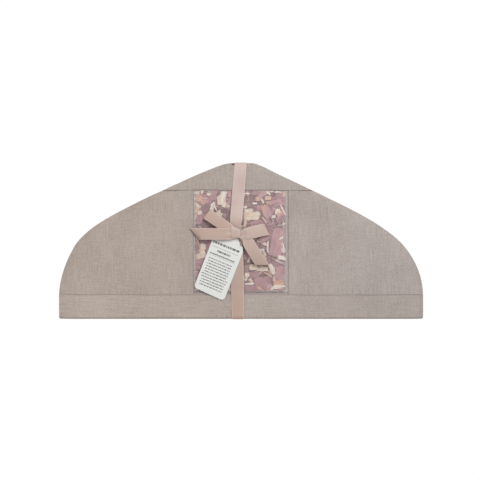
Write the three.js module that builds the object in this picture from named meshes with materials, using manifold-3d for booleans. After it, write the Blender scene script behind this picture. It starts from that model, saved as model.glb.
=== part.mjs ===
// Linen hanger cover with a sheer pouch of cedar chips, tied with a satin ribbon bow that holds a card tag.
// Millimetres. The cover lies on its back: +X right, +Y towards the hook opening, +Z up out of the front.
import * as THREE from "three";
import { mergeVertices } from "three/addons/utils/BufferGeometryUtils.js";
import Module from "manifold-3d";

// Driving dimensions of the cover
const coverWidth = 457;
const coverHeight = 194.4;
const clothThickness = 1.2; // a cloth wall, its turned allowance included
const backThickness = 1.4;
const seatGap = 0.3; // clearance between pieces that touch
const cutOverrun = 2; // how far a cutting solid runs past what it cuts
const hemHeight = 29.4; // bottom edge to the band's seam
const yokeDepth = 34; // top edge to the yoke's seam
const cavityDepth = 7.6; // room for the hanger between back and front
const edgeDepth = 1.4; // room between back and front along the closed edge
const edgeRun = 22; // width of the puffed border, in which the front falls to the edge
const seamWidth = 8; // width of the sewn allowance inside the edge
const hookOpening = 27; // unsewn length at the top for the hanger's hook
const hookGape = 5; // how far that mouth stands open
const hookBlend = 19; // length over which the edge closes again beside it

// Driving dimensions of the window and its pouch
const windowLeft = -60;
const windowRight = 59;
const windowFoot = 2; // from the band's seam up to the window's lower edge
const sheerThickness = 0.5;
const liningThickness = 0.6;
const liningMargin = 6; // how far the lining is sewn in past the window
const pouchRise = 5; // how far the chips push the sheer front up
const pouchFullness = 2.2; // exponent of the pouch's rise; more makes a flatter middle
const liningSag = 1.8; // how far they push the lining down
const sagRun = 6; // width over which the lining falls by that much inside the window
const gridStep = 7.5; // spacing of the points in the sheer front and the lining

// Driving dimensions of the ribbon, the bow and the tag
const ribbonWidth = 15.5;
const ribbonThickness = 0.45;
const ribbonTurn = 0.3; // inner radius where the ribbon turns round an edge
const tagWidth = 41;
const tagLength = 79.8;
const tagThickness = 0.6;
const tagCorner = 4;
const tagHole = 4.4;
const tagHoleInset = 4.3; // hole centre to the card's top end
const tieDiameter = 3.2; // the twisted ribbon end that passes through the tag's hole
const chipThickness = 1.3;

const halfWidth = coverWidth / 2;
const bottomY = -coverHeight / 2;
const topY = coverHeight / 2;
const hemSeamY = bottomY + hemHeight;
const yokeSeamY = topY - yokeDepth;
const frontInner = backThickness + cavityDepth; // underside of the front, away from the edges
const edgeInner = backThickness + edgeDepth; // underside of the front, at the sewn edge
const hookInner = backThickness + hookGape;
const frontTop = frontInner + clothThickness;
const ribbonFloor = seatGap / 3; // the ribbon under the back stays just clear of the ground
const grooveDepth = ribbonFloor + ribbonThickness + seatGap;

const wasm = await Module();
wasm.setup();

const linen = { color: 0xb3a698, roughness: 0.95, metalness: 0 };
const linenBand = { color: 0xb8ab9b, roughness: 0.95, metalness: 0 };
const liningCloth = { color: 0xcfc4ba, roughness: 0.9, metalness: 0 };
const sheer = { color: 0xc9bcc4, roughness: 0.5, metalness: 0 };
const satin = { color: 0xcdb2a6, roughness: 0.4, metalness: 0 };
const card = { color: 0xeeeeea, roughness: 0.8, metalness: 0 };
const heartwood = { color: 0xa07a80, roughness: 0.75, metalness: 0 };
const sapwood = { color: 0xe4d2bf, roughness: 0.75, metalness: 0 };

const cover = new THREE.Group();

function addPiece(name, geometry, finish, parent = cover) {
  const piece = new THREE.Mesh(geometry, new THREE.MeshStandardMaterial(finish));
  piece.name = name;
  parent.add(piece);
  return piece;
}

// Joining and cutting
const weldDistance = 1e-4;
function toSolid(geometry) {
  const plain = geometry.index ? geometry.toNonIndexed() : geometry.clone();
  plain.deleteAttribute("normal");
  plain.deleteAttribute("uv");
  const merged = mergeVertices(plain, weldDistance);
  return new wasm.Manifold(
    new wasm.Mesh({
      numProp: 3,
      vertProperties: new Float32Array(merged.attributes.position.array),
      triVerts: new Uint32Array(merged.index.array),
    }),
  );
}

function toGeometry(solid) {
  const mesh = solid.getMesh();
  const geometry = new THREE.BufferGeometry();
  const places = new Float32Array(mesh.numVert * 3);
  for (let i = 0; i < mesh.numVert; i++)
    for (let k = 0; k < 3; k++)
      places[3 * i + k] = mesh.vertProperties[mesh.numProp * i + k];
  geometry.setAttribute("position", new THREE.BufferAttribute(places, 3));
  geometry.setIndex(Array.from(mesh.triVerts));
  geometry.computeVertexNormals();
  return geometry;
}

function meshOf(points, faces) {
  const geometry = new THREE.BufferGeometry();
  geometry.setAttribute("position", new THREE.Float32BufferAttribute(points.flat(), 3));
  geometry.setIndex(faces.flat());
  return geometry;
}

function boxBetween(low, high) {
  const size = high.map((value, k) => value - low[k]);
  const box = new THREE.BoxGeometry(...size);
  box.translate(...low.map((value, k) => value + size[k] / 2));
  return box;
}

// The cover's outline: the right half from the top centre to the bottom corner.
// Each bend is a quadratic curve: its control and end points are shares of the half width and of the height.
const bendShares = [
  { control: [0.087, 1], end: [0.153, 0.965], steps: 4 },
  { control: [0.486, 0.789], end: [0.6565, 0.6833], steps: 6 },
  { control: [0.8394, 0.5703], end: [0.9046, 0.4664], steps: 7 },
  { control: [1, 0.3065], end: [1, 0.1334], steps: 7 },
];
const flatTopShare = 0.056; // where the level top edge ends
const outlinePoint = ([across, up]) => new THREE.Vector2(across * halfWidth, bottomY + up * coverHeight);

function rightOutline() {
  const points = [0, flatTopShare / 2, flatTopShare].map((share) => outlinePoint([share, 1]));
  for (const bend of bendShares) {
    const start = points[points.length - 1];
    const curve = new THREE.QuadraticBezierCurve(start, outlinePoint(bend.control), outlinePoint(bend.end));
    points.push(...curve.getPoints(bend.steps).slice(1));
  }
  points.push(new THREE.Vector2(halfWidth, bottomY));
  return points;
}

// The right half drawn in by a distance; its ends stay on the centre line and the bottom edge.
const outline = rightOutline();
function insetOutline(distance) {
  return outline.map((point, i) => {
    const before = outline[Math.max(i - 1, 0)];
    const after = outline[Math.min(i + 1, outline.length - 1)];
    const along = after.clone().sub(before).normalize();
    if (i === 0) along.set(1, 0);
    if (i === outline.length - 1) along.set(0, -1);
    return new THREE.Vector2(point.x + along.y * distance, point.y - along.x * distance);
  });
}

function mirrored(points) {
  const left = points.slice(1).map((point) => new THREE.Vector2(-point.x, point.y));
  return [...left.reverse(), ...points];
}

function outlineShape(distance) {
  return new THREE.Shape(mirrored(insetOutline(distance)));
}

function slab(shape, low, high) {
  const made = new THREE.ExtrudeGeometry(shape, { depth: high - low, bevelEnabled: false, curveSegments: 6 });
  made.translate(0, 0, low);
  return made;
}

// Distance from a point on the front to the sewn edge
function distanceToEdge(x, y) {
  const at = new THREE.Vector2(Math.abs(x), y);
  let nearest = Infinity;
  for (let i = 0; i + 1 < outline.length; i++) {
    const run = outline[i + 1].clone().sub(outline[i]);
    const share = THREE.MathUtils.clamp(at.clone().sub(outline[i]).dot(run) / run.lengthSq(), 0, 1);
    nearest = Math.min(nearest, at.distanceTo(outline[i].clone().addScaledVector(run, share)));
  }
  return nearest;
}

// Underside of the front. It is low along the sewn edge, open at the hook, and full a little way in.
function edgeHeight(x) {
  const closed = THREE.MathUtils.smoothstep(Math.abs(x), hookOpening / 2, hookOpening / 2 + hookBlend);
  return THREE.MathUtils.lerp(hookInner, edgeInner, closed);
}

function frontHeight(x, distance) {
  const share = THREE.MathUtils.clamp(distance / edgeRun, 0, 1);
  return THREE.MathUtils.lerp(edgeHeight(x), frontInner, 1 - (1 - share) ** 2);
}

// A solid under a puffed surface: rings of the outline, each drawn in further and set higher.
const ringShares = [0, 0.14, 0.32, 0.55, 0.77, 1];
function puffedSolid(lift, floor, overrun) {
  const rings = ringShares.map((share) => {
    const distance = share * edgeRun;
    const placed = distance === 0 ? -overrun : distance;
    return mirrored(insetOutline(placed)).map((point) => {
      const low = point.y === bottomY ? point.y - overrun : point.y;
      return [point.x, low, frontHeight(point.x, distance) + lift];
    });
  });
  const count = rings[0].length;
  const base = rings[0].map(([x, y]) => [x, y, floor]);
  const rows = [base, ...rings];
  const points = rows.flat();
  const faces = [];
  for (let r = 0; r + 1 < rows.length; r++)
    for (let i = 0; i + 1 < count; i++) {
      const a = r * count + i;
      faces.push([a, a + count, a + 1], [a + 1, a + count, a + count + 1]);
    }
  const last = (rows.length - 1) * count;
  const cap = (start, up) => {
    const flat = points.slice(start, start + count).map(([x, y]) => new THREE.Vector2(x, y));
    for (const [a, b, c] of THREE.ShapeUtils.triangulateShape(flat, [])) {
      const facesUp = THREE.ShapeUtils.area([flat[a], flat[b], flat[c]]) > 0;
      faces.push(facesUp === up ? [start + a, start + b, start + c] : [start + a, start + c, start + b]);
    }
  };
  cap(last, true);
  cap(0, false);
  // The wall across the open bottom joins the left end of each row to its right end.
  for (let r = 0; r + 1 < rows.length; r++) {
    const a = r * count;
    const b = a + count - 1;
    faces.push([a, b, a + count], [b, b + count, a + count]);
  }
  return toSolid(meshOf(points, faces));
}

// Front and back cloth
const frontShell = puffedSolid(clothThickness, frontInner - edgeDepth - cavityDepth, 0).subtract(
  puffedSolid(0, -cutOverrun, cutOverrun),
);

function frontPiece(name, low, high, finish) {
  const reach = boxBetween([...low, -cutOverrun], [...high, frontTop + cutOverrun]);
  addPiece(name, toGeometry(frontShell.intersect(toSolid(reach))), finish);
}

const farX = halfWidth + cutOverrun;
const halfGap = seatGap / 2;
frontPiece("front_yoke", [-farX, yokeSeamY + halfGap], [farX, topY + cutOverrun], linen);
const [panelLow, panelHigh] = [hemSeamY + halfGap, yokeSeamY - halfGap];
frontPiece("front_left_panel", [-farX, panelLow], [windowLeft - halfGap, panelHigh], linen);
frontPiece("front_right_panel", [windowRight + halfGap, panelLow], [farX, panelHigh], linen);
frontPiece("front_hem_band", [-farX, bottomY - cutOverrun], [farX, hemSeamY - halfGap], linenBand);

// The ribbon's run on the front and back, as centre-line places across the cover
const ribbonTopX = -0.4;
const ribbonFootX = -3.9;
const ribbonKnotX = -6.4;
const knotY = 11;

function backPiece(name, lowY, highY, finish) {
  const whole = toSolid(slab(outlineShape(0), 0, backThickness));
  const reach = toSolid(boxBetween([-farX, lowY, -cutOverrun], [farX, highY, backThickness + cutOverrun]));
  const grooveHalf = ribbonWidth / 2 + 2 * seatGap;
  const grooveShape = new THREE.Shape([
    new THREE.Vector2(ribbonFootX - grooveHalf, bottomY - cutOverrun),
    new THREE.Vector2(ribbonFootX + grooveHalf, bottomY - cutOverrun),
    new THREE.Vector2(ribbonTopX + grooveHalf, topY + cutOverrun),
    new THREE.Vector2(ribbonTopX - grooveHalf, topY + cutOverrun),
  ]);
  const groove = toSolid(slab(grooveShape, -cutOverrun, grooveDepth));
  addPiece(name, toGeometry(whole.intersect(reach).subtract(groove)), finish);
}

backPiece("back_panel", hemSeamY + halfGap, topY + cutOverrun, linen);
backPiece("back_hem_band", bottomY - cutOverrun, hemSeamY - halfGap, linenBand);

// The sewn allowances inside the two closed edges, from the hook opening to the bottom corners
const firstBend = outlinePoint(bendShares[0].end).sub(outlinePoint([flatTopShare, 1]));
const hookEdgeSlope = -firstBend.y / firstBend.x / 2;
function seamShape(side) {
  const outer = insetOutline(seatGap).filter((point) => point.x > hookOpening / 2);
  const inner = insetOutline(seamWidth).filter((point) => point.x > hookOpening / 2);
  const start = (line) => {
    const next = line[0];
    return new THREE.Vector2(hookOpening / 2, next.y + (next.x - hookOpening / 2) * hookEdgeSlope);
  };
  const points = [start(outer), ...outer, ...[start(inner), ...inner].reverse()];
  return new THREE.Shape(points.map((point) => new THREE.Vector2(side * point.x, point.y)));
}
for (const [name, side] of [["seam_left", -1], ["seam_right", 1]]) {
  const low = backThickness + seatGap;
  addPiece(name, slab(seamShape(side), low, edgeInner - seatGap), linen);
}

// The window's sheer front and the lining behind the chips
const windowLow = hemSeamY + windowFoot;
const windowHigh = yokeSeamY - halfGap;
const windowMiddle = [(windowLeft + windowRight) / 2, (windowLow + windowHigh) / 2];
const windowHalf = [(windowRight - windowLeft) / 2, (windowHigh - windowLow) / 2];

function pouchHeight(x, y) {
  const shares = [x, y].map((value, k) => Math.min(Math.abs(value - windowMiddle[k]) / windowHalf[k], 1));
  return pouchRise * (1 - shares[0] ** pouchFullness) * (1 - shares[1] ** pouchFullness);
}
function liningDrop(x, y) {
  const inside = [x, y].map((value, k) => windowHalf[k] - Math.abs(value - windowMiddle[k]));
  const share = THREE.MathUtils.clamp(Math.min(...inside) / sagRun, 0, 1);
  return liningSag * (1 - (1 - share) ** 2);
}
const linenUnder = (x, y) => frontHeight(x, distanceToEdge(x, y));
const liningTop = (x, y) => linenUnder(x, y) - seatGap - liningDrop(x, y);
const sheerUnder = (x, y) => linenUnder(x, y) + pouchHeight(x, y);
const sheerTop = (x, y) => sheerUnder(x, y) + sheerThickness;

// A sheet over a rectangle, between an underside and the same surface lifted by its thickness
function sheetSolid(low, high, under, thickness) {
  const steps = [0, 1].map((k) => Math.max(2, Math.round((high[k] - low[k]) / gridStep)));
  const width = steps[0] + 1;
  const layer = width * (steps[1] + 1);
  const points = [];
  for (const lift of [0, thickness])
    for (let j = 0; j <= steps[1]; j++)
      for (let i = 0; i <= steps[0]; i++) {
        const x = THREE.MathUtils.lerp(low[0], high[0], i / steps[0]);
        const y = THREE.MathUtils.lerp(low[1], high[1], j / steps[1]);
        points.push([x, y, under(x, y) + lift]);
      }
  const faces = [];
  for (let j = 0; j < steps[1]; j++)
    for (let i = 0; i < steps[0]; i++) {
      const a = j * width + i;
      const [b, c, d] = [a + 1, a + width, a + width + 1];
      faces.push([a, c, b], [b, c, d]);
      faces.push([a + layer, b + layer, c + layer], [b + layer, d + layer, c + layer]);
    }
  const wall = (a, b) => faces.push([a, b, b + layer], [a, b + layer, a + layer]);
  for (let i = 0; i < steps[0]; i++) {
    wall(i, i + 1);
    wall(steps[1] * width + i + 1, steps[1] * width + i);
  }
  for (let j = 0; j < steps[1]; j++) {
    wall((j + 1) * width, j * width);
    wall(j * width + steps[0], (j + 1) * width + steps[0]);
  }
  return meshOf(points, faces);
}

const windowCorners = [
  [windowLeft + halfGap, hemSeamY + halfGap],
  [windowRight - halfGap, windowHigh],
];
addPiece("sheer_window", sheetSolid(...windowCorners, sheerUnder, sheerThickness), sheer);
const liningCorners = [
  [windowLeft - liningMargin, windowLow - liningMargin],
  [windowRight + liningMargin, windowHigh + liningMargin],
];
const liningUnder = (x, y) => liningTop(x, y) - liningThickness;
addPiece("pouch_lining", sheetSolid(...liningCorners, liningUnder, liningThickness), liningCloth);

const level = (direction) => direction.clone().setZ(0).normalize();

// A flat strip of ribbon along a line of points. Each point is [x, y, z, width].
// across is the direction of the strip's width.
function ribbonStrip(line, across, thickness = ribbonThickness, endSlants = [0, 0]) {
  const middle = line.map(([x, y, z]) => new THREE.Vector3(x, y, z));
  const points = [];
  line.forEach(([, , , width], i) => {
    const before = middle[Math.max(i - 1, 0)];
    const after = middle[Math.min(i + 1, line.length - 1)];
    const along = after.clone().sub(before).normalize();
    const normal = new THREE.Vector3().crossVectors(across, along).normalize();
    const slant = i === 0 ? endSlants[0] : i === line.length - 1 ? endSlants[1] : 0;
    for (const [side, face] of [[-1, -1], [1, -1], [1, 1], [-1, 1]]) {
      const at = middle[i].clone().addScaledVector(across, (side * width) / 2);
      at.addScaledVector(level(along), side * slant).addScaledVector(normal, (face * thickness) / 2);
      points.push(at.toArray());
    }
  });
  const faces = [[0, 1, 2], [0, 2, 3]];
  for (let i = 0; i + 1 < line.length; i++)
    for (let k = 0; k < 4; k++) {
      const a = 4 * i + k;
      const b = 4 * i + ((k + 1) % 4);
      faces.push([a, a + 4, b], [b, a + 4, b + 4]);
    }
  const end = 4 * (line.length - 1);
  faces.push([end, end + 2, end + 1], [end, end + 3, end + 2]);
  const made = meshOf(points, faces);
  return toSolid(made).volume() < 0 ? meshOf(points, faces.map(([a, b, c]) => [a, c, b])) : made;
}

// The ribbon passes round the whole cover: up the front, over the top, down the back, round the bottom edge.
const acrossCover = new THREE.Vector3(1, 0, 0);
const ribbonHalf = ribbonThickness / 2;
const overGap = seatGap + ribbonHalf;
const backRunZ = ribbonFloor + ribbonHalf;
const outerY = topY + overGap;
const lipTop = (side) => (side > 0 ? hookInner : frontInner) + clothThickness;

// Top of the cloth at a place on the front: the sheer window inside its edges, and the linen around it
function frontCloth(x, y) {
  const inside = y > windowLow && y < windowHigh && x > windowLeft && x < windowRight;
  const linenTop = frontHeight(x, y > 0 ? distanceToEdge(x, y) : edgeRun) + clothThickness;
  return Math.max(linenTop, inside ? sheerTop(x, y) : 0);
}

function edgeTurn(x, side) {
  const high = lipTop(side) + overGap;
  const low = backRunZ;
  return [
    [x, side * (outerY - ribbonTurn), high, ribbonWidth],
    [x, side * outerY, high - ribbonTurn, ribbonWidth],
    [x, side * outerY, low + ribbonTurn, ribbonWidth],
    [x, side * (outerY - ribbonTurn), low, ribbonWidth],
    [x, side * (outerY - 2 * ribbonTurn), low, ribbonWidth],
  ];
}

// Each front run lies along the front to the edge; the share is how far along the run each point stands.
const runShares = [0, 0.12, 0.27, 0.42, 0.56, 0.64, 0.72, 0.8, 0.9];
const knotClearShare = 0.1; // where a run starts, as a share of the ribbon's width from the knot's middle
const straightShare = 0.95; // the ribbon is upright after this share of its run
const drawnInShares = [0.8, 0.9]; // the upper and lower runs' widths at the knot
const bedClearance = 0.1; // the run bridges the facets of the cloth below it
function frontRun(fromX, toX, side, widths) {
  const start = knotY + side * ribbonWidth * knotClearShare;
  const run = runShares.map((share) => {
    const y = THREE.MathUtils.lerp(start, side * (outerY - ribbonTurn), share);
    const x = THREE.MathUtils.lerp(fromX, toX, Math.min(share / straightShare, 1));
    const reach = ribbonWidth / 2;
    const high = Math.max(...[-reach, 0, reach].map((offset) => frontCloth(x + offset, y)));
    return [x, y, high + overGap + bedClearance, share === 0 ? widths : ribbonWidth];
  });
  return [...run, ...edgeTurn(toX, side)];
}
const upperRun = frontRun(ribbonKnotX, ribbonTopX, 1, ribbonWidth * drawnInShares[0]);
const lowerRun = frontRun(ribbonKnotX, ribbonFootX, -1, ribbonWidth * drawnInShares[1]);
addPiece("ribbon_front_upper", ribbonStrip(upperRun, acrossCover), satin);
addPiece("ribbon_front_lower", ribbonStrip(lowerRun, acrossCover), satin);
const backEnd = outerY - 2 * ribbonTurn - seatGap;
const backRun = [
  [ribbonTopX, backEnd, backRunZ, ribbonWidth],
  [ribbonFootX, -backEnd, backRunZ, ribbonWidth],
];
addPiece("ribbon_back", ribbonStrip(backRun, acrossCover), satin);

// The tag lies on the pouch at a slight slope. Its own frame has the hole at the origin, the card towards -Y.
const tagHolePlace = [-11.7, 3];
const tagTurn = THREE.MathUtils.degToRad(-22.4);
const tagSlope = THREE.MathUtils.degToRad(2.4);
const tagSwing = [-18, 6]; // degrees that the card turns about its hole, to the left and to the right
const tagGap = seatGap + 0.15; // the ribbon run below it is made of straight facets
const archRadius = tagWidth * 0.339; // the round top end
const shoulderReach = tagWidth * 0.385; // centre line to where a shoulder ends at the step beside the arch
const shoulderDrop = 11; // hole centre down to the card's full width
const shoulderBend = 7.4;
const stepDrop = 4.3; // hole centre down to the step
const stepNick = 0.6;

const tagFoot = tagHoleInset - tagLength;
const runReach = ribbonWidth / 2 + ribbonWidth / 4;
function bedTop(x, y) {
  const runs = [lowerRun, upperRun].some(([, [middle]]) => Math.abs(x - middle) < runReach);
  return frontCloth(x, y) + (runs ? seatGap + bedClearance + ribbonThickness : 0);
}

const upright = new THREE.Vector3(0, 0, 1);
const tagTilt = new THREE.Euler(tagSlope, 0, tagTurn, "ZYX");

// The card lies as low as the pouch and the ribbon below it allow, through its whole swing.
const sampleShares = [0, 0.25, 0.5, 0.75, 1];
function cardHeight() {
  let height = 0;
  for (const swing of sampleShares.map((share) => THREE.MathUtils.lerp(...tagSwing, share)))
    for (const across of sampleShares)
      for (const along of sampleShares) {
        const u = THREE.MathUtils.lerp(-tagWidth / 2, tagWidth / 2, across);
        const v = THREE.MathUtils.lerp(tagFoot, tagHoleInset, along);
        const place = new THREE.Vector3(u, v, 0);
        place.applyAxisAngle(upright, THREE.MathUtils.degToRad(swing)).applyEuler(tagTilt);
        const bed = bedTop(tagHolePlace[0] + place.x, tagHolePlace[1] + place.y);
        height = Math.max(height, bed + tagGap - place.z);
      }
  return height;
}
const tagUnderZ = cardHeight();
const tagFrame = new THREE.Group();
tagFrame.position.set(...tagHolePlace, tagUnderZ);
tagFrame.rotation.copy(tagTilt);
cover.add(tagFrame);

function tagShape() {
  const half = tagWidth / 2;
  const archMiddle = tagHoleInset - archRadius;
  const nickHeight = -stepDrop - stepNick;
  const archStart = Math.asin((nickHeight - archMiddle) / archRadius);
  const shape = new THREE.Shape();
  shape.moveTo(-half + tagCorner, tagFoot);
  shape.lineTo(half - tagCorner, tagFoot);
  shape.quadraticCurveTo(half, tagFoot, half, tagFoot + tagCorner);
  shape.lineTo(half, -shoulderDrop);
  shape.quadraticCurveTo(half, -shoulderBend, shoulderReach, -stepDrop);
  shape.absarc(0, archMiddle, archRadius, archStart, Math.PI - archStart, false);
  shape.lineTo(-shoulderReach, -stepDrop);
  shape.quadraticCurveTo(-half, -shoulderBend, -half, -shoulderDrop);
  shape.lineTo(-half, tagFoot + tagCorner);
  shape.quadraticCurveTo(-half, tagFoot, -half + tagCorner, tagFoot);
  const hole = new THREE.Path();
  hole.absarc(0, 0, tagHole / 2, 0, 2 * Math.PI, true);
  shape.holes.push(hole);
  return shape;
}
addPiece("hang_tag", slab(tagShape(), 0, tagThickness), card, tagFrame);

// The twisted ribbon end that passes up through the tag's hole to the knot
const tieLow = bedTop(...tagHolePlace) + seatGap + bedClearance - tagUnderZ;
const tieHigh = tagThickness + seatGap;
const tieFlareShare = 1.2;
function tieGeometry() {
  const radius = tieDiameter / 2;
  const flare = radius * tieFlareShare;
  const half = [
    [flare, tieLow],
    [radius, 0],
    [radius, tagThickness],
    [flare, tieHigh],
  ];
  const profile = [[0, tieLow], ...half, [0, tieHigh]];
  const turned = new THREE.LatheGeometry(profile.map(([r, z]) => new THREE.Vector2(r, z)), 16);
  return turned.rotateX(Math.PI / 2);
}
addPiece("tag_tie", tieGeometry(), satin, tagFrame);

// The knot, and the bow's parts that come out of it
const knotPlace = [-4.5, 10.5];
const knotSize = [14, 14.4, 4.8];
const knotRise = tieHigh + seatGap; // the knot's underside above the card's underside
const knotCentre = new THREE.Vector3(...knotPlace, tagUnderZ + knotRise + knotSize[2] / 2);

function knotSolid(grown) {
  const ball = new THREE.SphereGeometry(1 / 2, 20, 12);
  ball.rotateX(Math.PI / 2);
  ball.scale(...knotSize.map((size) => size + 2 * grown));
  ball.translate(...knotCentre.toArray());
  return ball;
}
addPiece("bow_knot", knotSolid(0), satin);

// A part starts in the knot, at a root given in shares of the ribbon's width from the knot's centre.
// rise is its root's height from the knot's centre; droopShare sets how late along its length it comes down.
const bowWidth = 14.6;
const bowRootWidth = 9;
const bowParts = [
  {
    name: "bow_tail_left",
    rootShare: [0, -0.06],
    heading: 182.4,
    length: 53.5,
    rise: 1.7,
    droopShare: 6,
    endLift: 0.25,
    cut: -6,
  },
  {
    name: "bow_tail_right",
    rootShare: [0, -0.1],
    heading: 8,
    length: 38.6,
    rise: 1.7,
    droopShare: 2.8,
    endLift: 0.25,
    cut: 0.9,
  },
  {
    name: "bow_loop_left",
    rootShare: [0, -0.22],
    heading: 145.2,
    length: 46.5,
    rise: -1.1,
    droopShare: 2.3,
    endLift: 0.35,
    fold: 2.6,
  },
  {
    name: "bow_loop_right",
    rootShare: [0.3, 0],
    heading: 301.6,
    length: 48,
    rise: -1.1,
    droopShare: 3,
    endLift: 0.35,
    fold: 2.8,
  },
];
const bowStepShares = [0, 0.14, 0.28, 0.42, 0.56, 0.7, 0.84];
const loopSpringShare = 0.42; // how far a loop's two layers stand apart at the knot, as a share of its fold
const widenShare = 0.35; // the ribbon has its full width after this share of a part's length

function bowPoint(part, share, above) {
  const heading = THREE.MathUtils.degToRad(part.heading);
  const x = knotPlace[0] + part.rootShare[0] * ribbonWidth + Math.cos(heading) * part.length * share;
  const y = knotPlace[1] + part.rootShare[1] * ribbonWidth + Math.sin(heading) * part.length * share;
  const rootLift = knotCentre.z + part.rise - sheerTop(...knotPlace) - overGap;
  const lift = THREE.MathUtils.lerp(part.endLift, rootLift, 1 - share ** part.droopShare);
  const reach = [-bowWidth / 2, 0, bowWidth / 2];
  const beds = reach.flatMap((out) =>
    reach.map((side) => {
      const dx = Math.cos(heading) * out - Math.sin(heading) * side;
      const dy = Math.sin(heading) * out + Math.cos(heading) * side;
      return frontCloth(x + dx, y + dy);
    }),
  );
  const bed = Math.max(...beds);
  const width = THREE.MathUtils.lerp(bowRootWidth, bowWidth, Math.min(share / widenShare, 1));
  return [x, y, bed + overGap + lift + above, width];
}

function bowLine(part) {
  const steps = bowStepShares;
  if (!part.fold) return [...steps, 1].map((share) => bowPoint(part, share, 0));
  const apart = (share) => part.fold * THREE.MathUtils.lerp(loopSpringShare, 1, share);
  const radius = part.fold / 2;
  const turns = [Math.PI / 2, Math.PI / 4, 0, -Math.PI / 4, -Math.PI / 2];
  const endShare = 1 - radius / part.length;
  const fold = turns.map((turn) => {
    const share = endShare + (Math.cos(turn) * radius) / part.length;
    return bowPoint(part, share, radius * (1 + Math.sin(turn)));
  });
  const upper = steps.map((share) => bowPoint(part, share, apart(share)));
  const lower = steps.map((share) => bowPoint(part, share, 0)).reverse();
  return [...upper, ...fold, ...lower];
}

const aroundKnot = toSolid(knotSolid(seatGap));
for (const part of bowParts) {
  const heading = THREE.MathUtils.degToRad(part.heading);
  const across = new THREE.Vector3(-Math.sin(heading), Math.cos(heading), 0);
  const strip = toSolid(ribbonStrip(bowLine(part), across, ribbonThickness, [0, part.cut ?? 0]));
  addPiece(part.name, toGeometry(strip.subtract(aroundKnot)), satin);
}

// Cedar chips: split slabs with thin, uneven ends
function seededRandom(seed) {
  let state = seed;
  return () => {
    state = (state + 0x6d2b79f5) | 0;
    let t = Math.imul(state ^ (state >>> 15), 1 | state);
    t = (t + Math.imul(t ^ (t >>> 7), 61 | t)) ^ t;
    return ((t ^ (t >>> 14)) >>> 0) / 2 ** 32;
  };
}
const chipSeed = 11;
const random = seededRandom(chipSeed);
const around = (middle, spread) => middle + (random() - 1 / 2) * spread;

const stationShares = [0, 0.1, 0.38, 0.72, 0.91, 1];
const halfWidthShares = [0.55, 0.84, 0.92, 0.9, 0.82, 0.4];
const thicknessShares = [0.3, 0.85, 1, 1, 0.8, 0.3];
const wornShare = 0.03; // how unevenly an end has split off
const narrowShare = 0.16; // how much narrower a chip may be at any station
const thickSpread = 0.3; // how far the chips' thicknesses differ, as a share

// A chip lies flat in its own frame, its length along X
function chipGeometry(length, width, thickness) {
  const points = [];
  stationShares.forEach((station, i) => {
    const ends = i === 0 || i === stationShares.length - 1;
    const x = (station - 1 / 2) * length;
    for (const [side, face] of [[-1, -1], [1, -1], [1, 1], [-1, 1]]) {
      const reach = (width / 2) * halfWidthShares[i] * (1 - random() * narrowShare);
      const worn = ends ? random() * wornShare * length : 0;
      points.push([x - Math.sign(x) * worn, side * reach, (face * thickness * thicknessShares[i]) / 2]);
    }
  });
  const faces = [[0, 2, 1], [0, 3, 2]];
  for (let i = 0; i + 1 < stationShares.length; i++)
    for (let k = 0; k < 4; k++) {
      const a = 4 * i + k;
      const b = 4 * i + ((k + 1) % 4);
      faces.push([a, b, a + 4], [b, b + 4, a + 4]);
    }
  const end = 4 * (stationShares.length - 1);
  faces.push([end, end + 1, end + 2], [end, end + 2, end + 3]);
  return meshOf(points, faces);
}

const windowSize = [windowRight - windowLeft, windowHigh - windowLow];
const chipsAcross = 5.95; // usual chips, end to end, that fill the window crosswise
const chipsUp = 6.44; // and upwards
const chipLength = Math.min(windowSize[0] / chipsAcross, windowSize[1] / chipsUp);
function inWindow(xShare, yShare) {
  return [windowLeft + xShare * windowSize[0], windowLow + yShare * windowSize[1]];
}

// A flat piece under the sheer front takes the slope that the front has there, as high as its corners allow.
const chipBedGap = 0.4;
const cornerShares = [-0.5, -0.25, 0, 0.25, 0.5];
function seatUnderSheer(chip, x, y, length, width, thickness, turn) {
  const step = gridStep / 2;
  const slope = [
    (sheerUnder(x + step, y) - sheerUnder(x - step, y)) / (2 * step),
    (sheerUnder(x, y + step) - sheerUnder(x, y - step)) / (2 * step),
  ];
  let high = Infinity;
  for (const along of cornerShares)
    for (const side of cornerShares) {
      const dx = along * length * Math.cos(turn) - side * width * Math.sin(turn);
      const dy = along * length * Math.sin(turn) + side * width * Math.cos(turn);
      high = Math.min(high, sheerUnder(x + dx, y + dy) - slope[0] * dx - slope[1] * dy);
    }
  const normal = new THREE.Vector3(-slope[0], -slope[1], 1).normalize();
  const tilt = new THREE.Quaternion().setFromUnitVectors(new THREE.Vector3(0, 0, 1), normal);
  const spin = new THREE.Quaternion().setFromAxisAngle(new THREE.Vector3(0, 0, 1), turn);
  chip.quaternion.copy(tilt.multiply(spin));
  chip.position.set(x, y, high - chipBedGap - thickness / 2 / normal.z);
}

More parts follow.
